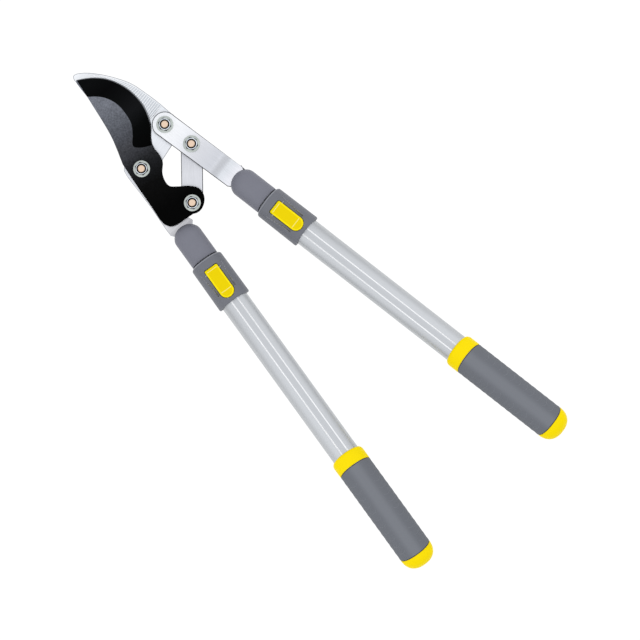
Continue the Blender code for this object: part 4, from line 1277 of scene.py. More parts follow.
@dataclass
class Handle:
    """One telescopic handle in its own frame: fixed inner part and sliding outer part."""

    side: Side
    pin_station: float = 136.2
    ferrule: Oval = Oval(16.25, 13.5, 13.5)
    inner_tube: Oval = Oval(13.8, 10.0, 10.0)
    inner_bore: Oval = Oval(12.2, 8.4, 8.4)
    outer_tube: Oval = Oval(16.0, 13.0, 13.0)
    outer_bore: Oval = Oval(14.4, 11.4, 11.4)
    collar: Oval = Oval(19.4, 18.5, 16.0)
    grip: Oval = Oval(19.35, 16.0, 16.0)
    ring: Oval = Oval(19.5, 16.0, 16.0)
    collar_sides: int = 200
    front_sweep: float = 2.65
    rear_sweep: float = 2.3
    grip_sweep: float = 4.5
    groove_half: float = 3.9
    groove_offset: float = 0.8
    groove_depth: float = 0.75
    tang_slots: tuple[Place, Place] = ((25.0, 60.0, 84.0), (10.3, 80.0, 95.0))
    rivet_hole: float = 2.8
    lever_half: float = 8.15
    lever_gap: float = 0.65
    lever_border: float = 1.7
    ridge_backs: Flat = (3.2, 30.2)
    pocket_floor: float = 24.5
    pin_half: float = 10.8
    barrel_radius: float = 2.4
    barrel_bore: float = 1.4
    mark_spacing: float = 8.5
    mark_across: float = 12.5
    mark_radius: float = 4.2
    mark_thickness: float = 0.35
    mark_arc: Flat = (205.0, 130.0)
    scallop: float = 0.22

    def __post_init__(self) -> None:
        """Take the handle's axis from the frame's joints and its height from the tube."""
        joints = {joint["name"]: joint for joint in frame["joints"]}
        self.along = Vector(joints[f"{self.side.value}_extend"]["axis"]).normalized()
        self.right = Vector((-self.along.y, self.along.x, 0.0))
        pin = Vector(joints[f"{self.side.value}_lock_flip"]["pos_m"]) / MM
        self.pin_height = pin.z
        self.origin = Vector((pin.x, pin.y, 0.0)) - self.along * self.pin_station
        low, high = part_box(self.node("inner_tube"))
        self.axis_height = (low.z + high.z) / (2.0 * MM)

    def node(self, part: str) -> str:
        """Name of this handle's CAD node for a part."""
        return f"{self.side.value}_{part}"

    def piece(self, part: str, loops: Sequence[Sequence[Place]], *finishes: Finish,
              caps: bool = False) -> bpy.types.Object:
        """A finished piece of the handle through loops of equal length."""
        return finished(self.node(f"{part}_finished"), loft(loops, caps), finishes)

    def place(self, across: float, station: float, height: float) -> Vector:
        """Model place in millimetres of a point in the handle's frame."""
        flat = self.origin + self.along * station + self.right * across
        return Vector((flat.x, flat.y, height))

    def span(self, part: str) -> Flat:
        """First and last station that a part's CAD node reaches."""
        stations = [(vert.co / MM - self.origin).dot(self.along)
                    for vert in frame["nodes"][self.node(part)].data.vertices]
        return min(stations), max(stations)

    def loop(self, section: Oval, station: float, sweep: float = 0.0,
             shift: Callable[[float, float, float], float] | None = None,
             sides: int = OVAL_SIDES) -> list[Vector]:
        """One section of the handle.

        Args:
            section: The section's size.
            station: Where it stands, at the widest points.
            sweep: How far its top and bottom lie towards the head.
            shift: Gives the drop of the surface at across, station and share of height.
            sides: How many points the loop gets.

        Returns:
            The loop's points in the model's millimetres.
        """
        soften = 0.15
        points = []
        for index in range(sides):
            across, height, rise = section.point(2.0 * math.pi * index / sides)
            share = (math.hypot(rise, soften) - soften) / (math.hypot(1.0, soften) - soften)
            back = station - sweep * share
            if shift:
                height -= shift(across, back, rise)
            points.append(self.place(across, back, self.axis_height + height))
        return points

    def build_fixed(self, nylon: Finish, aluminium: Finish) -> None:
        """The ferrule and the inner tube, which stay with the head."""
        nose, end = self.span("ferrule")
        full = nose + 14.4
        loops = []
        for step in range(1, 17):
            share = (step / 16.0) ** 1.8
            scale = math.sqrt(1.0 - (1.0 - share) ** 2)
            loops.append(self.loop(self.ferrule.scaled(scale), nose + (full - nose) * share))
        loops.append(self.loop(self.ferrule, end - 3.6))
        for back, margin in ((0.9, 0.0), (0.35, 0.15), (0.0, 0.55)):
            loops.append(self.loop(self.ferrule.smaller(margin), end - back, self.front_sweep))
        bore = self.inner_tube.smaller(-0.3)
        tube_start, tube_end = self.span("inner_tube")
        loops.append(self.loop(bore, end, self.front_sweep))
        loops.append(self.loop(bore, tube_start - 0.3))
        piece = self.piece("ferrule", loops, nylon, caps=True)
        low, high = heights("toggle_link")
        for half, front, rear in self.tang_slots:
            corners = [(half, front), (-half, front), (-half, rear), (half, rear)]
            cut(piece, [self.prism(corners, low - 0.3, high + 0.3)])
        settle(piece, self.side.fixed_body, Slot.GREY_NYLON, self.node("ferrule"))

        loops = [self.loop(self.inner_tube, tube_start),
                 self.loop(self.inner_tube, tube_end - 0.4),
                 self.loop(self.inner_tube.smaller(0.3), tube_end),
                 self.loop(self.inner_bore, tube_end), self.loop(self.inner_bore, tube_start)]
        piece = self.piece("inner_tube", loops, aluminium)
        cut(piece, [drill(plan_centre(self.node(f"tang_rivet_{number}")), self.rivet_hole)
                    for number in (1, 2)])
        settle(piece, self.side.fixed_body, Slot.ALUMINIUM, self.node("inner_tube"))

    def prism(self, plan: Sequence[Flat], low: float, high: float) -> bmesh.types.BMesh:
        """An upright prism over a plan of across and station."""
        return loft([[self.place(across, station, height) for across, station in plan]
                     for height in (low, high)])

    def tube_loop(self, station: float) -> list[Vector]:
        """The outer tube's section, with its groove above and below."""
        middle = self.side.inward * self.groove_offset
        section = self.outer_tube
        points = []
        marks = [-0.55, -0.25, 0.0, 0.35, 0.7]
        edges = [middle - self.groove_half - mark for mark in marks[::-1]]
        edges += [middle + self.groove_half + mark for mark in marks]
        rounds = [section.point(math.pi * step / 48)[0] for step in range(1, 48)]
        spread = [x for x in rounds if abs(x - middle) > self.groove_half + 1.0]
        spread += [x for x in rounds if abs(x - middle) < self.groove_half - 0.8]
        for way in (1.0, -1.0):
            chain = sorted(spread + edges, reverse=way > 0.0)
            for across in [way * section.half_width] + chain:
                share = 1.0 - min(abs(across) / section.half_width, 1.0) ** section.power
                height = section.up * share ** (1.0 / section.power)
                depth = ease(self.groove_half + 0.5 - abs(across - middle), 0.0, 0.8)
                height -= self.groove_depth * depth
                points.append(self.place(across, station, self.axis_height + way * height))
        return points

    def build_tube(self, aluminium: Finish, highlighted: Finish) -> None:
        """The outer tube, a grooved extrusion whose groove corners carry a painted highlight."""
        start, end = self.span("outer_tube")
        loops = [self.tube_loop(start), self.tube_loop(end)]
        count = len(loops[0])
        for station in (end, start):
            bore = []
            for index in range(count):
                across, height, _ = self.outer_bore.point(2.0 * math.pi * index / count)
                bore.append(self.place(across, station, self.axis_height + height))
            loops.append(bore)
        piece = self.piece("outer_tube", loops, aluminium, highlighted)
        middle = self.side.inward * self.groove_offset

        def is_corner(centre: Vector, normal: Vector) -> bool:
            """Whether a face lies on a corner of the groove."""
            across = (centre - self.origin).dot(self.right) - middle
            outside = abs(centre.z - self.axis_height) > self.outer_bore.up
            return outside and abs(abs(across) - self.groove_half - 0.1) < 0.6

        # The groove's corners get a near-white finish: a painted highlight.
        repaint(piece, 1, is_corner)
        settle(piece, self.side.slide_body, Slot.ALUMINIUM, self.node("outer_tube"))

    def scoop(self, across: float, station: float, rise: float) -> float:
        """Drop of the collar's top in the finger troughs beside the lock lever."""
        if rise <= 0.0:
            return 0.0
        reach = abs(across)
        outer = 14.4 - 2.4 * ease(station, 130.0, 158.0)
        width = ease(reach, 8.0, 8.6) * (1.0 - ease(reach, outer - 0.7, outer))
        front = ease(station, 130.6, 131.8)
        depth = 0.8 + 1.2 * ease(station, 133.0, 162.0)
        return depth * width * front * (1.0 - ease(station, 162.3, 162.8))

    def build_collar(self, nylon: Finish, highlit: Finish, dark: Finish) -> None:
        """The clamp collar, with a pocket for its lever and a trough each side of it.

        Args:
            nylon: Finish of the moulding.
            highlit: Finish of the trough walls and the front edge, a painted highlight.
            dark: Finish inside the pocket.
        """
        first, last = self.span("collar")
        start = first + self.front_sweep
        sides = self.collar_sides

        def section(station: float, margin: float) -> Oval:
            """The collar's section, which widens a little towards its rear."""
            flare = 0.25 - 0.5 * (station - start) / (last - start)
            return Oval(self.collar.half_width - flare - margin, self.collar.up - margin,
                        self.collar.down - margin)

        loops = []
        for back, margin in ((0.0, 2.6), (0.15, 1.7), (0.7, 0.8), (1.5, 0.25), (2.7, 0.0)):
            loops.append(self.loop(section(start, margin), start + back,
                                   self.front_sweep, sides=sides))
        body = [start + 2.7 + 0.7 * step for step in range(1, 66)]
        for station in body:
            share = (station - start) / (last - start)
            sweep = self.front_sweep + (self.rear_sweep - self.front_sweep) * share
            loops.append(self.loop(section(station, 0.0), station, sweep, self.scoop, sides))
        for back, margin in ((2.0, 0.0), (1.1, 0.15), (0.5, 0.55), (0.1, 1.2), (0.0, 1.9)):
            loops.append(self.loop(section(last, margin), last - back, self.rear_sweep,
                                   sides=sides))
        wide = self.outer_tube.smaller(-0.3)
        narrow = self.inner_tube.smaller(-0.4)
        step = self.span("outer_tube")[0] - 0.3
        for bore, station, sweep in ((wide, last, self.rear_sweep), (wide, step, 0.0),
                                     (narrow, step, 0.0), (narrow, start, self.front_sweep)):
            loops.append(self.loop(bore, station, sweep, sides=sides))
        piece = self.piece("collar", loops, nylon, highlit, dark)

        def is_highlit(centre: Vector, normal: Vector) -> bool:
            """Whether a face is on a trough's outer wall or the collar's front edge, which get a
            painted highlight.
            """
            spot = centre - self.origin
            across = spot.dot(self.right)
            wall = normal.dot(self.right) * math.copysign(1.0, across) < -0.15
            trough = wall and abs(across) > 10.5 and centre.z > self.axis_height + 8.0
            edge = -0.95 < normal.dot(self.along) < -0.45
            return trough and 131.0 < spot.dot(self.along) < 162.0 or edge

        # Paler nylon on the trough walls and front edge is a painted highlight.
        repaint(piece, 1, is_highlit)
        front, rear = self.span("lock_lever")
        pocket = self.prism(self.lever_plan(-self.lever_gap, front, rear),
                            self.pocket_floor, CUT_TOP)
        pin_low, pin_high = heights(self.node("lock_pin"))
        pin = self.cross_bar((pin_high - pin_low) / 2.0 + 0.3, self.pin_half)
        cut(piece, [pocket, pin])
        reach = self.lever_half + self.lever_gap + 0.05
        repaint(piece, 2, lambda centre, normal: abs(normal.z) < 0.2
                and abs((centre - self.origin).dot(self.right)) < reach
                and front - 1.0 < (centre - self.origin).dot(self.along) < rear + 1.0
                and centre.z > self.pocket_floor - 0.1)
        settle(piece, self.side.slide_body, Slot.GREY_NYLON, self.node("collar"))

    def cross_bar(self, radius: float, half: float) -> bmesh.types.BMesh:
        """A cylinder across the handle on the lock pin's axis."""
        loops = []
        for across in (-half, half):
            circle = arc((self.pin_station, self.pin_height), radius, 0.0, 345.0, 23)
            loops.append([self.place(across, station, height) for station, height in circle])
        return loft(loops)

    def lever_plan(self, margin: float, front: float, rear: float) -> list[Flat]:
        """Plan of the lock lever: its left side from front to rear, then its right side."""
        half = self.lever_half - margin
        first = front + margin
        last = rear - margin
        corner = max(1.6 - margin, 0.5)
        left = [(-half + corner, first)]
        left += [(-half + corner - corner * math.sin(turn), first + corner
                  - corner * math.cos(turn)) for turn in (0.4, 0.8, 1.2, math.pi / 2.0)]
        straight = last - half - (first + corner)
        left += [(-half, first + corner + straight * step / 20.0) for step in range(1, 21)]
        for step in range(1, 17):
            turn = math.pi / 2.0 * step / 16.0
            left.append((-half * math.cos(turn), last - half + half * math.sin(turn)))
        right = [(-across, station) for across, station in left[-2::-1]]
        return left + right

    def lever_top(self, station: float, front: float, rear: float, crown: float) -> float:
        """Height of the lock lever's upper face along its length."""
        climb = 2.9 * math.sqrt(max(ease(station, front - 0.6, front + 4.6), 0.0))
        tail = 2.2 * ease(station, rear - 11.0, rear + 1.5) ** 1.2
        return crown - 2.9 + climb - tail

    def build_lever(self, face: Finish, border: Finish, ridge: Finish) -> None:
        """The flip-up lock lever: a raised border round a sunk panel, and its barrel.

        Args:
            face: Finish of the panel.
            border: Finish of the border, painted paler than the panel: a painted highlight.
            ridge: Finish of the two ridges across the panel, a pale painted highlight.
        """
        front, rear = self.span("lock_lever")
        crown = heights(self.node("lock_lever"))[1]
        low = self.pin_height - 0.9
        rows = [(0.3, low, None), (0.0, low + 0.4, None), (0.0, None, 1.0),
                (0.12, None, 0.55), (0.4, None, 0.15), (0.8, None, 0.0),
                (self.lever_border - 0.35, None, 0.0), (self.lever_border, None, 0.15),
                (self.lever_border + 0.3, None, 0.5)]
        loops = []
        for margin, height, drop in rows:
            loop = []
            for across, station in self.lever_plan(margin, front, rear):
                top = self.lever_top(station, front, rear, crown)
                loop.append(self.place(across, station, top - drop if height is None
                                       else height))
            loops.append(loop)
        work = bmesh.new()
        rings = [[work.verts.new(point) for point in loop] for loop in loops]
        for row, (lower, upper) in enumerate(zip(rings, rings[1:])):
            for index in range(len(lower)):
                after = (index + 1) % len(lower)
                made = work.faces.new((lower[index], lower[after], upper[after], upper[index]))
                made.material_index = 1 if row > 0 else 0
        for ring, turn in ((rings[-1], 1), (rings[0], -1)):
            half = len(ring) // 2
            for index in range(half):
                corners = [ring[index], ring[index + 1], ring[-index - 2], ring[-index - 1]]
                if index == half - 1:
                    corners = [ring[index], ring[index + 1], ring[-index - 1]]
                work.faces.new(corners[::turn])
        piece = finished(self.node("lock_lever_finished"), work, [face, border])
        cut(piece, [self.cross_bar(self.barrel_radius, self.lever_half - 0.2)], "UNION")
        cut(piece, [self.cross_bar(self.barrel_bore, 20.0)])
        settle(piece, self.side.lock_body, Slot.YELLOW_NYLON, self.node("lock_lever"))
        self.build_ridges(front, rear, crown, ridge)

    def build_ridges(self, front: float, rear: float, crown: float, finish: Finish) -> None:
        """Two low ridges across the lock lever's panel, in a pale painted highlight."""
        work = bmesh.new()
        for back in self.ridge_backs:
            station = front + back
            top = self.lever_top(station, front, rear, crown) - 0.5
            half = self.lever_half - self.lever_border - 0.3
            loops = []
            for across in (-half, half):
                circle = arc((station, top), 0.45, 0.0, 315.0, 7)
                loops.append([self.place(across, along, height) for along, height in circle])
            join_loops(work, loops)
        piece = finished(self.node("lock_lever_ridges"), work, [finish])
        settle(piece, self.side.lock_body, Slot.YELLOW_NYLON)

    def build_ring(self, yellow: Finish) -> None:
        """The yellow ring in front of the grip, rounded off towards the head."""
        bore = self.outer_tube.smaller(-0.3)
        first, end = self.span("grip_ring")
        start = first + self.grip_sweep
        loops = [self.loop(self.ring.smaller(margin), start + back, self.grip_sweep)
                 for back, margin in ((0.0, 2.6), (0.2, 1.8), (0.7, 1.1), (1.5, 0.55),
                                      (2.6, 0.2), (4.0, 0.0))]
        loops += [self.loop(self.ring, end - 0.5, self.grip_sweep),
                  self.loop(self.ring.smaller(0.4), end, self.grip_sweep),
                  self.loop(bore, end, self.grip_sweep),
                  self.loop(bore, start, self.grip_sweep)]
        piece = self.piece("grip_ring", loops, yellow)
        settle(piece, self.side.slide_body, Slot.YELLOW_NYLON, self.node("grip_ring"))

    def build_sleeve(self, rubber: Finish, end_shade: Finish, mark: Finish) -> None:
        """The grey sleeve, scalloped along its sides, with its embossed marks.

        Args:
            rubber: Finish of the sleeve.
            end_shade: Finish of the bands at its ends, painted shade where it meets the ring and
                the cap.
            mark: Finish of the embossed marks.
        """
        bore = self.outer_tube.smaller(-0.3)
        first, end = self.span("grip_sleeve")
        start = first + self.grip_sweep
        loops = [self.loop(self.grip.smaller(0.45), start, self.grip_sweep),
                 self.loop(self.grip, start + 0.7, self.grip_sweep)]
        steps = 96
        for step in range(1, steps):
            share = step / steps
            station = start + 0.7 + (end - start - self.grip_sweep - 1.4) * share
            wave = 0.5 - 0.5 * math.cos(2.0 * math.pi * (station - start) / self.mark_spacing)
            section = Oval(self.grip.half_width - self.scallop * wave, self.grip.up,
                           self.grip.down)
            loops.append(self.loop(section, station, self.grip_sweep * (1.0 - 2.0 * share)))
        loops += [self.loop(self.grip, end - 0.7 - self.grip_sweep, -self.grip_sweep),
                  self.loop(self.grip.smaller(0.45), end - self.grip_sweep, -self.grip_sweep),
                  self.loop(bore, end - self.grip_sweep, -self.grip_sweep),
                  self.loop(bore, start, self.grip_sweep)]
        sleeve = self.piece("grip_sleeve", loops, rubber, end_shade)
        # The end bands are painted dark: painted shade where the sleeve meets the ring and the
        # cap.
        for band in (0, steps + 1):
            for face in sleeve.data.polygons[OVAL_SIDES * band:OVAL_SIDES * (band + 1)]:
                face.material_index = 1
        settle(sleeve, self.side.slide_body, Slot.SOFT_GRIP, self.node("grip_sleeve"))
        self.build_marks(sleeve, start + 12.0, end - 14.0, mark)

    def build_cap(self, yellow: Finish) -> None:
        """The yellow end cap, domed outside, with a plug inside the tube."""
        first, tip = self.span("end_cap")
        joint = self.span("grip_sleeve")[1] - self.grip_sweep + 0.3
        plug = self.outer_bore.smaller(0.3)
        loops = [self.loop(plug, first), self.loop(plug, joint, -self.grip_sweep),
                 self.loop(self.grip.smaller(0.4), joint, -self.grip_sweep)]
        steps = 18
        for step in range(steps):
            share = 1.0 - (1.0 - step / steps) ** 1.6
            scale = (1.0 - share ** self.grip.power) ** (1.0 / self.grip.power)
            loops.append(self.loop(self.grip.scaled(scale),
                                   joint + 0.4 + (tip - joint - 0.4) * share,
                                   -self.grip_sweep * (1.0 - share)))
        piece = self.piece("end_cap", loops, yellow, caps=True)
        settle(piece, self.side.slide_body, Slot.YELLOW_NYLON, self.node("end_cap"))

    def build_marks(self, sleeve: bpy.types.Object, start: float, end: float,
                    mark: Finish) -> None:
        """Shallow curved ridges down both sides of the grip, laid on its surface."""
        shape = NodeShape(f"grip_marks_{self.side.value}", {
            "Sleeve": ("NodeSocketObject", sleeve),
            "Spacing": ("NodeSocketFloat", self.mark_spacing * MM),
            "Radius": ("NodeSocketFloat", self.mark_radius * MM),
            "Thickness": ("NodeSocketFloat", self.mark_thickness * MM),
            "Heading": ("NodeSocketFloat", math.atan2(self.right.y, self.right.x)),
            "Finish": ("NodeSocketMaterial", mark.material())})
        tree = shape.tree
        rails = add(tree, "GeometryNodeMeshToCurve", {0: shape.given("Geometry")})
        spaced = add(tree, "GeometryNodeResampleCurve",
                     {"Curve": rails, "Length": shape.given("Spacing")}, mode="LENGTH")
        bow = add(tree, "GeometryNodeCurveArc",
                  {"Resolution": 10, "Radius": shape.given("Radius"),
                   "Start Angle": math.radians(self.mark_arc[0]),
                   "Sweep Angle": math.radians(self.mark_arc[1])})
        section = add(tree, "GeometryNodeCurvePrimitiveCircle",
                      {"Resolution": 6, "Radius": shape.given("Thickness")})
        ridge = add(tree, "GeometryNodeCurveToMesh",
                    {"Curve": bow, "Profile Curve": section, "Fill Caps": True})
        turn = add(tree, "ShaderNodeCombineXYZ", {2: shape.given("Heading")})
        placed = add(tree, "GeometryNodeInstanceOnPoints",
                     {"Points": spaced, "Instance": ridge, "Rotation": turn})
        real = add(tree, "GeometryNodeRealizeInstances", {0: placed})
        target = add(tree, "GeometryNodeObjectInfo", {"Object": shape.given("Sleeve")})
        here = add(tree, "GeometryNodeInputPosition")
        parts = add(tree, "ShaderNodeSeparateXYZ", {0: here})
        above = add(tree, "ShaderNodeCombineXYZ", {0: parts, 1: parts.outputs[1], 2: 0.1})
        hit = add(tree, "GeometryNodeRaycast",
                  {"Target Geometry": target.outputs["Geometry"],
                   "Source Position": above, "Ray Direction": (0.0, 0.0, -1.0),
                   "Ray Length": 0.2})
        ground = add(tree, "ShaderNodeSeparateXYZ", {0: hit.outputs["Hit Position"]})
        sunk = add(tree, "ShaderNodeMath", {0: parts.outputs[2], 1: ground.outputs[2]},
                   operation="ADD")
        laid = add(tree, "ShaderNodeCombineXYZ", {0: parts, 1: parts.outputs[1], 2: sunk})
        draped = add(tree, "GeometryNodeSetPosition", {"Geometry": real, "Position": laid})
        shape.close(draped.outputs[0])
        rows = [[self.place(across, station, -0.2) for station in (start, end)]
                for across in (-self.mark_across, self.mark_across)]
        marks = shape.grow(self.node("grip_marks"), guide("mark_rails", *rows))
        settle(marks, self.side.slide_body, Slot.SOFT_GRIP)


# ---- hidden pieces

@dataclass
class CarriedOver:
    """CAD nodes whose shape is right as it is; they only get their finish."""

    finishes: dict[str, Finish]

    def dress(self) -> None:
        """Put each finish on the nodes of both handles."""
        for part, finish in self.finishes.items():
            for side in Side:
                node = frame["nodes"][f"{side.value}_{part}"]
                node.data.materials.clear()
                node.data.materials.append(finish.material())
                LOG.info("%s: CAD shape with %s", node.name, finish.title)


# ---- studio

@dataclass
class Studio:
    """A lit white table, a pale dome of light and a camera straight above."""

    lens: float = 300.0
    sensor: float = 36.0
    view_width: float = 704.0
    aim: Place = (-1.79, -53.75, 17.0)
    turn: float = -43.95
    table_glow: float = 0.97
    table_half: float = 6.0
    table_drop: float = 0.0002
    dome_glow: Flat = (0.52, 1.16)
    box_size: Flat = (1.2, 0.35)
    box_energy: float = 0.65
    box_place: Place = (0.62, -0.12, 0.42)
    box_aim: float = 0.08

    def build(self) -> None:
        """Make the table, the world, the lights and the camera."""
        self.build_table()
        self.build_world()
        self.build_lights()
        self.build_camera()

    def build_table(self) -> None:
        """A backlit white acrylic table, which swallows every shadow."""
        mesh = bpy.data.meshes.new("light_table")
        corners = [(-1.0, -1.0), (1.0, -1.0), (1.0, 1.0), (-1.0, 1.0)]
        mesh.from_pydata([(x * self.table_half, y * self.table_half, -self.table_drop)
                          for x, y in corners], [], [(0, 1, 2, 3)])
        table = linked("light_table", mesh)
        acrylic = bpy.data.materials.new("opal acrylic, lit from below")
        acrylic.use_nodes = True
        feed(acrylic.node_tree.nodes["Principled BSDF"],
             {"Base Color": linear("5a5a5a"), "Roughness": 0.9, "Specular IOR Level": 0.0,
              "Emission Color": linear("ffffff"), "Emission Strength": self.table_glow})
        mesh.materials.append(acrylic)

    def build_world(self) -> None:
        """A dome that is brightest overhead and dim near the horizon."""
        world = bpy.data.worlds.new("studio dome")
        bpy.context.scene.world = world
        world.use_nodes = True
        tree = world.node_tree
        tree.nodes.clear()
        at = add(tree, "ShaderNodeTexCoord").outputs["Generated"]
        parts = add(tree, "ShaderNodeSeparateXYZ", {0: at})
        glow = add(tree, "ShaderNodeMapRange",
                   {"Value": parts.outputs[2], "From Min": 0.0, "From Max": 1.0,
                    "To Min": self.dome_glow[0], "To Max": self.dome_glow[1]})
        light = add(tree, "ShaderNodeBackground", {"Color": linear("fbfcff"), "Strength": glow})
        add(tree, "ShaderNodeOutputWorld", {0: light})

    def build_lights(self) -> None:
        """A long soft box along the outer side of each handle."""
        for name, way in (("left_soft_box", -1.0), ("right_soft_box", 1.0)):
            lamp = bpy.data.lights.new(name, "AREA")
            lamp.shape = "RECTANGLE"
            lamp.size, lamp.size_y = self.box_size
            lamp.energy = self.box_energy
            thing = linked(name, lamp)
            x, y, z = self.box_place
            thing.location = (way * x, y, z)
            aim = Vector((way * self.box_aim, y, 0.0)) - thing.location
            across = Matrix.Rotation(math.pi / 2.0, 4, "Z")
            thing.rotation_euler = (aim.to_track_quat("-Z", "Y").to_matrix().to_4x4()
                                    @ across).to_euler()

    def build_camera(self) -> None:
        """A long lens straight above the table, turned so that the tool lies aslant."""
        data = bpy.data.cameras.new("camera")
        data.lens = self.lens
        data.sensor_width = self.sensor
        data.clip_end = 100.0
        camera = linked("camera", data)
        distance = self.view_width * self.lens / self.sensor
        x, y, z = self.aim
        camera.location = Vector((x, y, z + distance)) * MM
        camera.rotation_euler = (0.0, 0.0, math.radians(self.turn))
        bpy.context.scene.camera = camera
        bpy.context.scene.view_settings.view_transform = "Standard"


# ---- whole object

@dataclass(frozen=True)
class PlateFinishes:
    """Finishes of the four plates, laid out along them by places of the head frame."""

    head: Head

    def run(self, start: Flat, end: Flat) -> tuple[Place, Place]:
        """Where a drift of tone starts and ends, in metres."""
        return self.head.spot(*start), self.head.spot(*end)

    def hook_steel(self) -> Finish:
        """Steel of the hook; its stops paint shade by the handle, where the blade's tail shades
        the shank, and reflections along the jaw, pale towards its tip.
        """
        return BrushedSteel(
            "milled hook steel", Slot.BRIGHT_STEEL, "e0e2e5", 0.42, 1.0,
            heading=math.radians(5.0), ends=self.run((0.0, -78.0), (0.0, 125.0)),
            # Stops: painted shade near the handle, painted reflection along the rest of the
            # plate.
            stops=((0.0, "b0afb2"), (0.06, "dcdcde"), (0.24, "eaebec"), (0.38, "e3e5e9"),
                   (0.58, "e6e9ec"), (0.70, "eceef0"), (0.80, "f2f4f5"), (0.90, "f2f3f5"),
                   (0.93, "dcdee0"), (1.0, "eef0f2")))

    def lever_steel(self) -> Finish:
        """Steel of the lever plate, brushed along it; its stops, darkest towards the joggle, are
        painted shade and reflection.
        """
        return BrushedSteel(
            "brushed lever steel", Slot.BRIGHT_STEEL, "dcdee2", 0.38, 1.0,
            heading=math.radians(98.0), ends=self.run((53.0, 32.0), (67.0, -78.0)),
            # Stops: painted reflection near the pivot, painted shade towards the joggle.
            stops=((0.0, "e8eaec"), (0.2, "eff0f1"), (0.38, "e8e9ec"), (0.55, "d4d5d9"),
                   (0.72, "cbcdd2"), (0.80, "d0d2d6"), (0.88, "d8dbdf"), (0.97, "e6e6ea")))

    def link_steel(self) -> Finish:
        """Steel of the toggle link."""
        return BrushedSteel(
            "brushed link steel", Slot.BRIGHT_STEEL, "c9cacf", 0.40, 1.0,
            heading=math.radians(46.8), ends=self.run((14.0, -65.0), (50.0, -22.0)),
            stops=((0.0, "d2d3d7"), (0.6, "d4d5d9"), (1.0, "c8c9ce")))

    def sheared(self) -> Finish:
        """Dull grey on a plate's sheared wall and rounded rim: the wall's own dull steel, and
        painted shade that outlines the plate along its rim.
        """
        return BrushedSteel(
            "sheared plate edge", Slot.BRIGHT_STEEL, "34363a", 0.55, 1.0, scratch=0.8,
            scratch_length=1.5, stops=((0.0, "303236"), (1.0, "3e4044")))

    def hook_edge(self) -> Finish:
        """The hook's milled edge and rim, brighter than a sheared one: the edge's own tone, with
        painted shade along the rim.
        """
        return BrushedSteel(
            "milled hook edge", Slot.BRIGHT_STEEL, "b0b2b6", 0.5, 1.0, scratch=0.8,
            scratch_length=1.5, stops=((0.0, "b2b4b8"), (1.0, "bcbec2")))

    def rib_crest_highlight(self) -> Finish:
        """Crests of the ribs on the jaw, painted paler than the band: a painted highlight."""
        return BrushedSteel(
            "milled rib crests", Slot.BRIGHT_STEEL, "f4f5f6", 0.4, 1.0,
            ends=self.run((60.0, 36.0), (30.0, 118.0)),
            stops=((0.0, "f0f2f4"), (1.0, "f4f5f7")), contrast=0.04)

    def valley_shade(self) -> Finish:
        """The milled band between the ribs, painted darker than the crests: painted shade."""
        return BrushedSteel(
            "milled band between ribs", Slot.BRIGHT_STEEL, "ccd0d4", 0.5, 1.0,
            ends=self.run((60.0, 36.0), (30.0, 118.0)),
            stops=((0.0, "cacfd4"), (0.6, "d2d6da"), (1.0, "e2e4e6")))

    def coating(self) -> Finish:
        """Coating on the flat of the blade."""
        return CoatedBlade(
            "baked black coating", Slot.COATED_STEEL, "202123", 0.6, specular=0.02,
            ends=self.run((-4.0, -50.0), (24.0, 95.0)))

    def grind(self) -> Finish:
        """Coating in the hollow grind."""
        return CoatedBlade(
            "coated hollow grind", Slot.COATED_STEEL, "08090a", 0.55, specular=0.02,
            speckle=0.9, ends=self.run((34.0, 14.0), (34.0, 120.0)),
            stops=((0.0, "020202"), (0.22, "050606"), (0.38, "141517"), (0.56, "0b0c0d"),
                   (0.72, "050506"), (0.88, "0a0b0c"), (1.0, "090a0b")))

    def ground(self) -> Finish:
        """Bare steel along the cutting edge."""
        return BrushedSteel(
            "bare ground edge", Slot.BRIGHT_STEEL, "707274", 0.4, 1.0, scratch=0.6,
            scratch_length=4.0, ends=self.run((27.0, 12.0), (46.0, 36.0)),
            stops=((0.0, "2c2c2e"), (0.35, "2e2e30"), (1.0, "77797c")))


# Title, slot, colour, cloudy tone, roughness and specular level of each moulded finish.
MOULDED = (
    ("black nylon", Slot.BLACK_NYLON, "060607", "0b0b0c", 0.45, 0.1),
    ("natural nylon", Slot.NATURAL_NYLON, "d9d6cc", "dedbd2", 0.5, 0.5),
    ("grey nylon ferrule", Slot.GREY_NYLON, "787983", "7c7d87", 0.5, 0.3),
    ("grey nylon collar", Slot.GREY_NYLON, "6e7077", "72747b", 0.5, 0.3),
    # Painted highlight on the collar's trough walls and front edge.
    ("rubbed nylon edge", Slot.GREY_NYLON, "8e9097", "94969d", 0.45, 0.4),
    ("shaded pocket wall", Slot.GREY_NYLON, "1c1c28", "20202c", 0.6, 0.1),
    ("embossed grip marks", Slot.SOFT_GRIP, "787b81", "7b7e84", 0.6, 0.25),
    # Painted shade at the grip's ends.
    ("grip shut-off line", Slot.SOFT_GRIP, "3c3f58", "404360", 0.6, 0.1),
    # The ridges' pale yellow is a painted highlight.
    ("yellow nylon ridge", Slot.YELLOW_NYLON, "fff27a", "fff488", 0.4, 0.2),
    ("yellow nylon panel", Slot.YELLOW_NYLON, "f0d600", "eed300", 0.5, 0.05),
    # The border's paler yellow is a painted highlight.
    ("yellow nylon border", Slot.YELLOW_NYLON, "fee800", "ffea04", 0.4, 0.1),
)


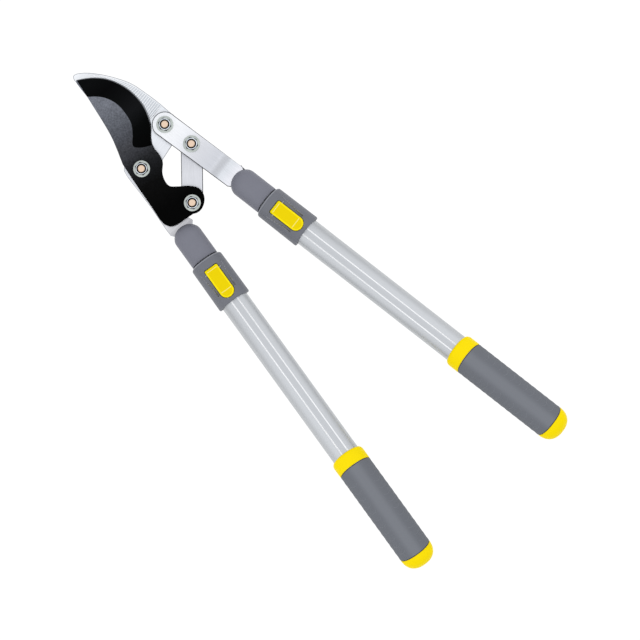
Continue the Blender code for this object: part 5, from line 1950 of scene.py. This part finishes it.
def small_finishes() -> dict[str, Finish]:
    """Finishes of the fasteners and of everything that is moulded, by title."""
    made = [MouldedNylon(title, slot, colour, roughness, specular=specular,
                         cloud_colour=cloudy)
            for title, slot, colour, cloudy, roughness, specular in MOULDED]
    made.append(MouldedNylon("yellow nylon", Slot.YELLOW_NYLON, "fcdf00", 0.42,
                             specular=0.06, cloud_colour="fde302", cloud=14.0))
    for title, colour, roughness in (("bright zinc plate", "b4bab5", 0.25),
                                     # Nut collar: painted highlight; nut flanks: painted shade.
                                     ("polished nut collar", "e6ecf2", 0.2),
                                     ("oil-darkened nut flanks", "3a403c", 0.3),
                                     ("yellow passivated zinc", "e2c8b0", 0.26)):
        made.append(PlatedSteel(title, Slot.ZINC_STEEL, colour, roughness, 1.0))
    return {finish.title: finish for finish in made}


def main() -> None:
    """Build the studio, the head, its pivots and both handles, and report each piece."""
    logging.basicConfig(level=logging.INFO, format="%(message)s")
    Studio().build()
    head = Head()
    handles = {side: Handle(side) for side in Side}
    plate = PlateFinishes(head)
    small = small_finishes()
    black = small["black nylon"]
    zinc = small["bright zinc plate"]

    head.build_hook(handles[Side.LEFT], [plate.hook_steel(), plate.hook_edge()])
    head.build_ribs(plate.rib_crest_highlight(), plate.valley_shade())
    head.build_blade([plate.coating(), plate.grind(), plate.ground()])
    head.build_lever(handles[Side.RIGHT], [plate.lever_steel(), plate.sheared()])
    head.build_link([plate.link_steel(), plate.sheared()])
    for name, body in (("main", Body.HEAD), ("lever", Body.HEAD),
                       ("lever_link", Body.LEVER), ("blade_link", Body.BLADE)):
        PivotStack(name, body, small["yellow passivated zinc"], zinc,
                   small["polished nut collar"], small["oil-darkened nut flanks"],
                   black).build()
    for side, handle in handles.items():
        across = math.atan2(handle.right.y, handle.right.x)
        tube = DrawnAluminium(f"satin anodised tube, {side.value}", Slot.ALUMINIUM, "c3c5c7",
                              0.42, 1.0, far_colour="bcbfc2", along=across)
        # Near-white finish on the groove's corners: a painted highlight.
        highlighted = DrawnAluminium(f"burnished tube corner, {side.value}", Slot.ALUMINIUM,
                                   "fafafa", 0.3, 1.0, far_colour="f4f5f6", along=across)
        rubber = SoftGrip(f"grey soft grip, {side.value}", Slot.SOFT_GRIP, "6c6f75", 0.7,
                          specular=0.2, grain=0.8, cloud_colour="707379", depth=0.03,
                          axis_spot=tuple(handle.place(0.0, 450.0, 0.0) * MM),
                          axis_heading=across)
        handle.build_fixed(small["grey nylon ferrule"], tube)
        handle.build_tube(tube, highlighted)
        handle.build_collar(small["grey nylon collar"], small["rubbed nylon edge"],
                            small["shaded pocket wall"])
        handle.build_lever(small["yellow nylon panel"], small["yellow nylon border"],
                           small["yellow nylon ridge"])
        handle.build_ring(small["yellow nylon"])
        handle.build_sleeve(rubber, small["grip shut-off line"], small["embossed grip marks"])
        handle.build_cap(small["yellow nylon"])
    CarriedOver({"tang_filler": black, "stop_ring": black, "clamp_shoe": black,
                 "tang_rivet_1": zinc, "tang_rivet_2": zinc, "lock_pin": zinc,
                 "glide": small["natural nylon"]}).dress()


if __name__ == "__main__":
    main()
